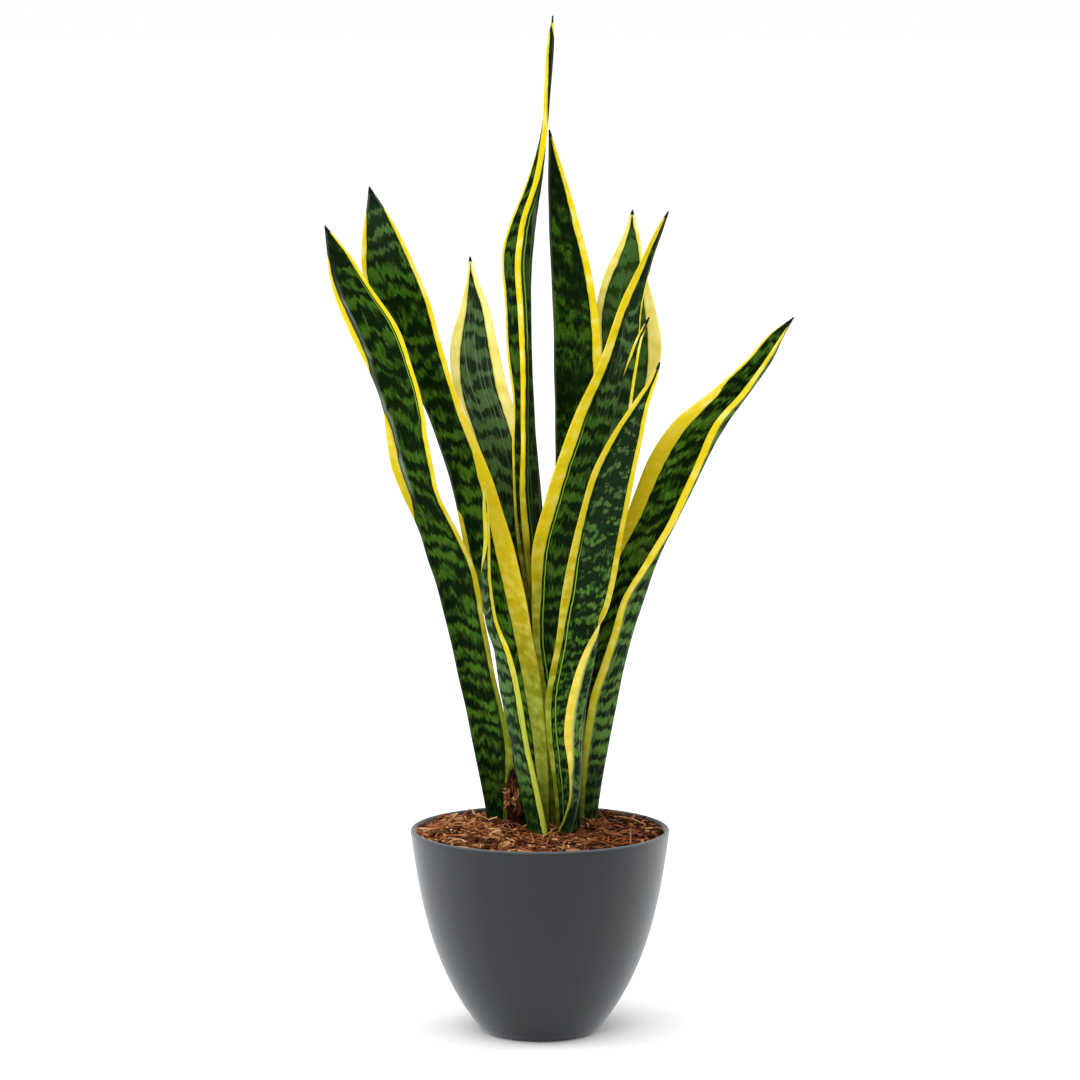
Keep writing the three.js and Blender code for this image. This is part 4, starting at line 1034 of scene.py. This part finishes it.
def make_tuft():
    """Husk fibres between two leaf bases: a pointed wisp with a knot, and curled husks at its foot."""
    rng = np.random.default_rng(31)
    pile = Pile()
    s = np.linspace(0, 1, 8)
    for i in range(STRANDS):
        low = rng.uniform(TUFT_FOOT, 216)
        height = min(rng.uniform(6, 20), TUFT_TOP - low)
        z = low + height * s * (1 - 0.35 * rng.uniform() * s)
        side = rng.uniform(0, 1) + rng.normal(0, 0.35) * s
        side = np.clip(side + 0.22 * np.sin(rng.uniform(2, 5) * s + rng.uniform(0, 6)), -0.1, 1.1)
        left, right = np.interp(z, TUFT_HEIGHTS, TUFT_LEFT), np.interp(z, TUFT_HEIGHTS, TUFT_RIGHT)
        x = left * (1 - side) + right * side
        y = TUFT_CENTRE[1] + rng.uniform(-8, 6) * np.interp(z, (TUFT_FOOT, 229), (1, 0.3))
        y = y + rng.normal(0, 2.0) * s
        widths = (2.0, 4.2) if i % 4 == 0 else (0.5, 1.1)
        width = rng.uniform(*widths) * (1 - 0.75 * s ** 2)
        turn = rng.uniform(0, math.pi) + rng.normal(0, 1.2) * s
        across = np.stack([np.cos(turn), np.sin(turn), 0.3 + 0 * s], axis=1)
        knot = 0.3 + 0.85 * math.exp(-((low + height / 2 - KNOT_HEIGHT) / 10) ** 2)
        pile.strip(np.column_stack([x, y, z]), width, 0.5, across, min(1.0, rng.beta(1.0, 1.7) * knot))
    # Loose ends of the knot, and the husks heaped at the foot
    s = np.linspace(0, 1, 7)
    for i in range(LOOSE_ENDS):
        reach = rng.uniform(3.5, 6.5)
        droop = rng.uniform(-7, 3)
        x = KNOT_SIDE - reach * s * (0.7 + 0.3 * s)
        y = TUFT_CENTRE[1] - rng.uniform(1, 7) + rng.normal(0, 1.5) * s
        z = rng.uniform(192, 214) + droop * s * s + 1.5 * s
        turn = rng.uniform(0, math.pi)
        across = np.tile([0.2, math.cos(turn), math.sin(turn)], (len(s), 1))
        width = rng.uniform(0.6, 1.3) * (1 - 0.7 * s)
        pile.strip(np.column_stack([x, y, z]), width, 0.5, across, rng.beta(2, 2))
    s = np.linspace(-0.5, 0.5, 7)
    for i in range(HEAPED_HUSKS):
        length = rng.uniform(8, 18)
        heading = rng.uniform(0, 2 * math.pi) + rng.normal(0, 1.6) * s
        centre = (HEAP_CENTRE[0] + rng.normal(0, 4.5), HEAP_CENTRE[1] + rng.normal(0, 4.0))
        flat = curled(centre, heading, length)
        heap = HEAP_HEIGHT * np.exp(-((flat[:, 0] + 24) ** 2 + (flat[:, 1] + 12) ** 2) / 110)
        z = bark_under(flat) + heap * rng.uniform(0.3, 1.0) + rng.normal(0, 0.25) * s * length
        across = rolled(heading, rng.normal(0, 0.8))
        width = rng.uniform(1.0, 3.4) * (1 - np.abs(2 * s) ** 3 * 0.6)
        pile.strip(np.column_stack([flat, z]), width, 0.7, across, rng.beta(1.8, 2.0))
    pile.make("husk_tuft", bark_material("husk", (0.009, 0.0027, 0.001), (0.47, 0.145, 0.07), 0.7))


def make_straws():
    """A few pale dry straws lying on the bark."""
    rng = np.random.default_rng(5)
    pile = Pile()
    s = np.linspace(0, 1, 8)
    for start, end, width, lift in STRAWS:
        start, end = np.array(start, float), np.array(end, float)
        sideways = np.array([-(end - start)[1], (end - start)[0]])
        bow = sideways * 0.12 * rng.normal(0, 1)
        flat = start + (end - start) * s[:, None] + bow * (s * (1 - s) * 4)[:, None]
        z = bark_under(flat) + 1.2 + lift * np.sin(math.pi * s)
        across = np.tile([*sideways, 0.0], (len(s), 1))
        pile.strip(np.column_stack([flat, z]), width * (1 - 0.4 * s ** 2), 0.5, across, rng.uniform(0.5, 1.0))
    pile.make("pale_straws", bark_material("straw", (0.3, 0.2, 0.06), (0.62, 0.45, 0.18), 0.8))


def soil_material():
    t = Tree("soil")
    crumb = t.noise(t.place(), 420.0, 4.0, 0.65)
    lump = t.noise(t.place(), 90.0)
    share = t.add(t.times(crumb, 0.7), t.times(lump, 0.3))
    colour = t.mix(t.step(share, 0.35, 0.65), (0.008, 0.005, 0.003), (0.05, 0.03, 0.018))
    t.bump(crumb, 0.0012, 0.9)
    return t.finish(colour, 0.92, 0.2)


def make_floor():
    t = Tree("studio_floor")
    speck = t.noise(t.place(), 6.0)
    material = t.finish(t.mix(t.step(speck, 0.3, 0.7), (0.93, 0.93, 0.93), (0.95, 0.95, 0.95)), 0.9, 0.1)
    bpy.ops.mesh.primitive_plane_add(size=400.0, location=(0, 0, -0.0002))
    floor = bpy.context.object
    floor.name = "studio_floor"
    floor.data.materials.append(material)


def area_light(name, place, target, size, power):
    light = bpy.data.lights.new(name, "AREA")
    light.shape = "RECTANGLE"
    light.size, light.size_y = size
    light.energy = power
    ahead = Vector(np.subtract(target, place))
    add_object(name, light, place, ahead.to_track_quat("-Z", "Y").to_euler())


def make_lights():
    """A white backdrop for the camera, and a dimmer sky, a soft sun and three softboxes for the plant."""
    world = bpy.data.worlds.new("studio")
    bpy.context.scene.world = world
    world.use_nodes = True
    nodes, links = world.node_tree.nodes, world.node_tree.links
    dim = next(n for n in nodes if n.type == "BACKGROUND")
    bright = nodes.new("ShaderNodeBackground")
    dim.inputs["Color"].default_value = (0.97, 0.98, 1.0, 1.0)
    dim.inputs["Strength"].default_value = 0.45
    bright.inputs["Color"].default_value = (1.0, 1.0, 1.0, 1.0)
    bright.inputs["Strength"].default_value = 1.0
    mix = nodes.new("ShaderNodeMixShader")
    out = next(n for n in nodes if n.type == "OUTPUT_WORLD")
    links.new(nodes.new("ShaderNodeLightPath").outputs["Is Camera Ray"], mix.inputs[0])
    links.new(dim.outputs[0], mix.inputs[1])
    links.new(bright.outputs[0], mix.inputs[2])
    links.new(mix.outputs[0], out.inputs[0])

    sun = bpy.data.lights.new("overhead", "SUN")
    sun.energy = 2.5
    sun.angle = math.radians(65)
    add_object("overhead", sun, turn=(math.radians(13), math.radians(-5), 0))
    area_light("front_fill", (-0.7, -3.3, 1.5), (0, 0, 0.45), (2.0, 1.5), 30)
    area_light("softbox_left", (-2.3, 0.1, 1.0), (0, 0, 0.35), (1.8, 2.0), 26)
    area_light("softbox_right", (2.0, 0.9, 1.0), (0, 0, 0.35), (1.6, 2.0), 26)


def make_camera():
    lens = bpy.data.cameras.new("photo_camera")
    lens.sensor_width = SENSOR_WIDTH
    lens.lens = SENSOR_WIDTH / 2 / math.tan(HALF_VIEW)
    lens.clip_end = 500.0
    back = CAMERA_DISTANCE * math.cos(CAMERA_PITCH)
    height = CAMERA_AIM_HEIGHT + CAMERA_DISTANCE * math.sin(CAMERA_PITCH)
    camera = add_object("photo_camera", lens, (0, -back, height), (math.pi / 2 - CAMERA_PITCH, 0, 0))
    bpy.context.scene.camera = camera
    bpy.context.scene.view_settings.view_transform = "Standard"


make_camera()
make_lights()
make_floor()
make_pot()
make_bark()
make_tuft()
make_straws()
for leaf_name in LEAF_SECTIONS:
    make_leaf(leaf_name)
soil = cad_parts["potting_soil"]
soil.data.materials.clear()
soil.data.materials.append(soil_material())
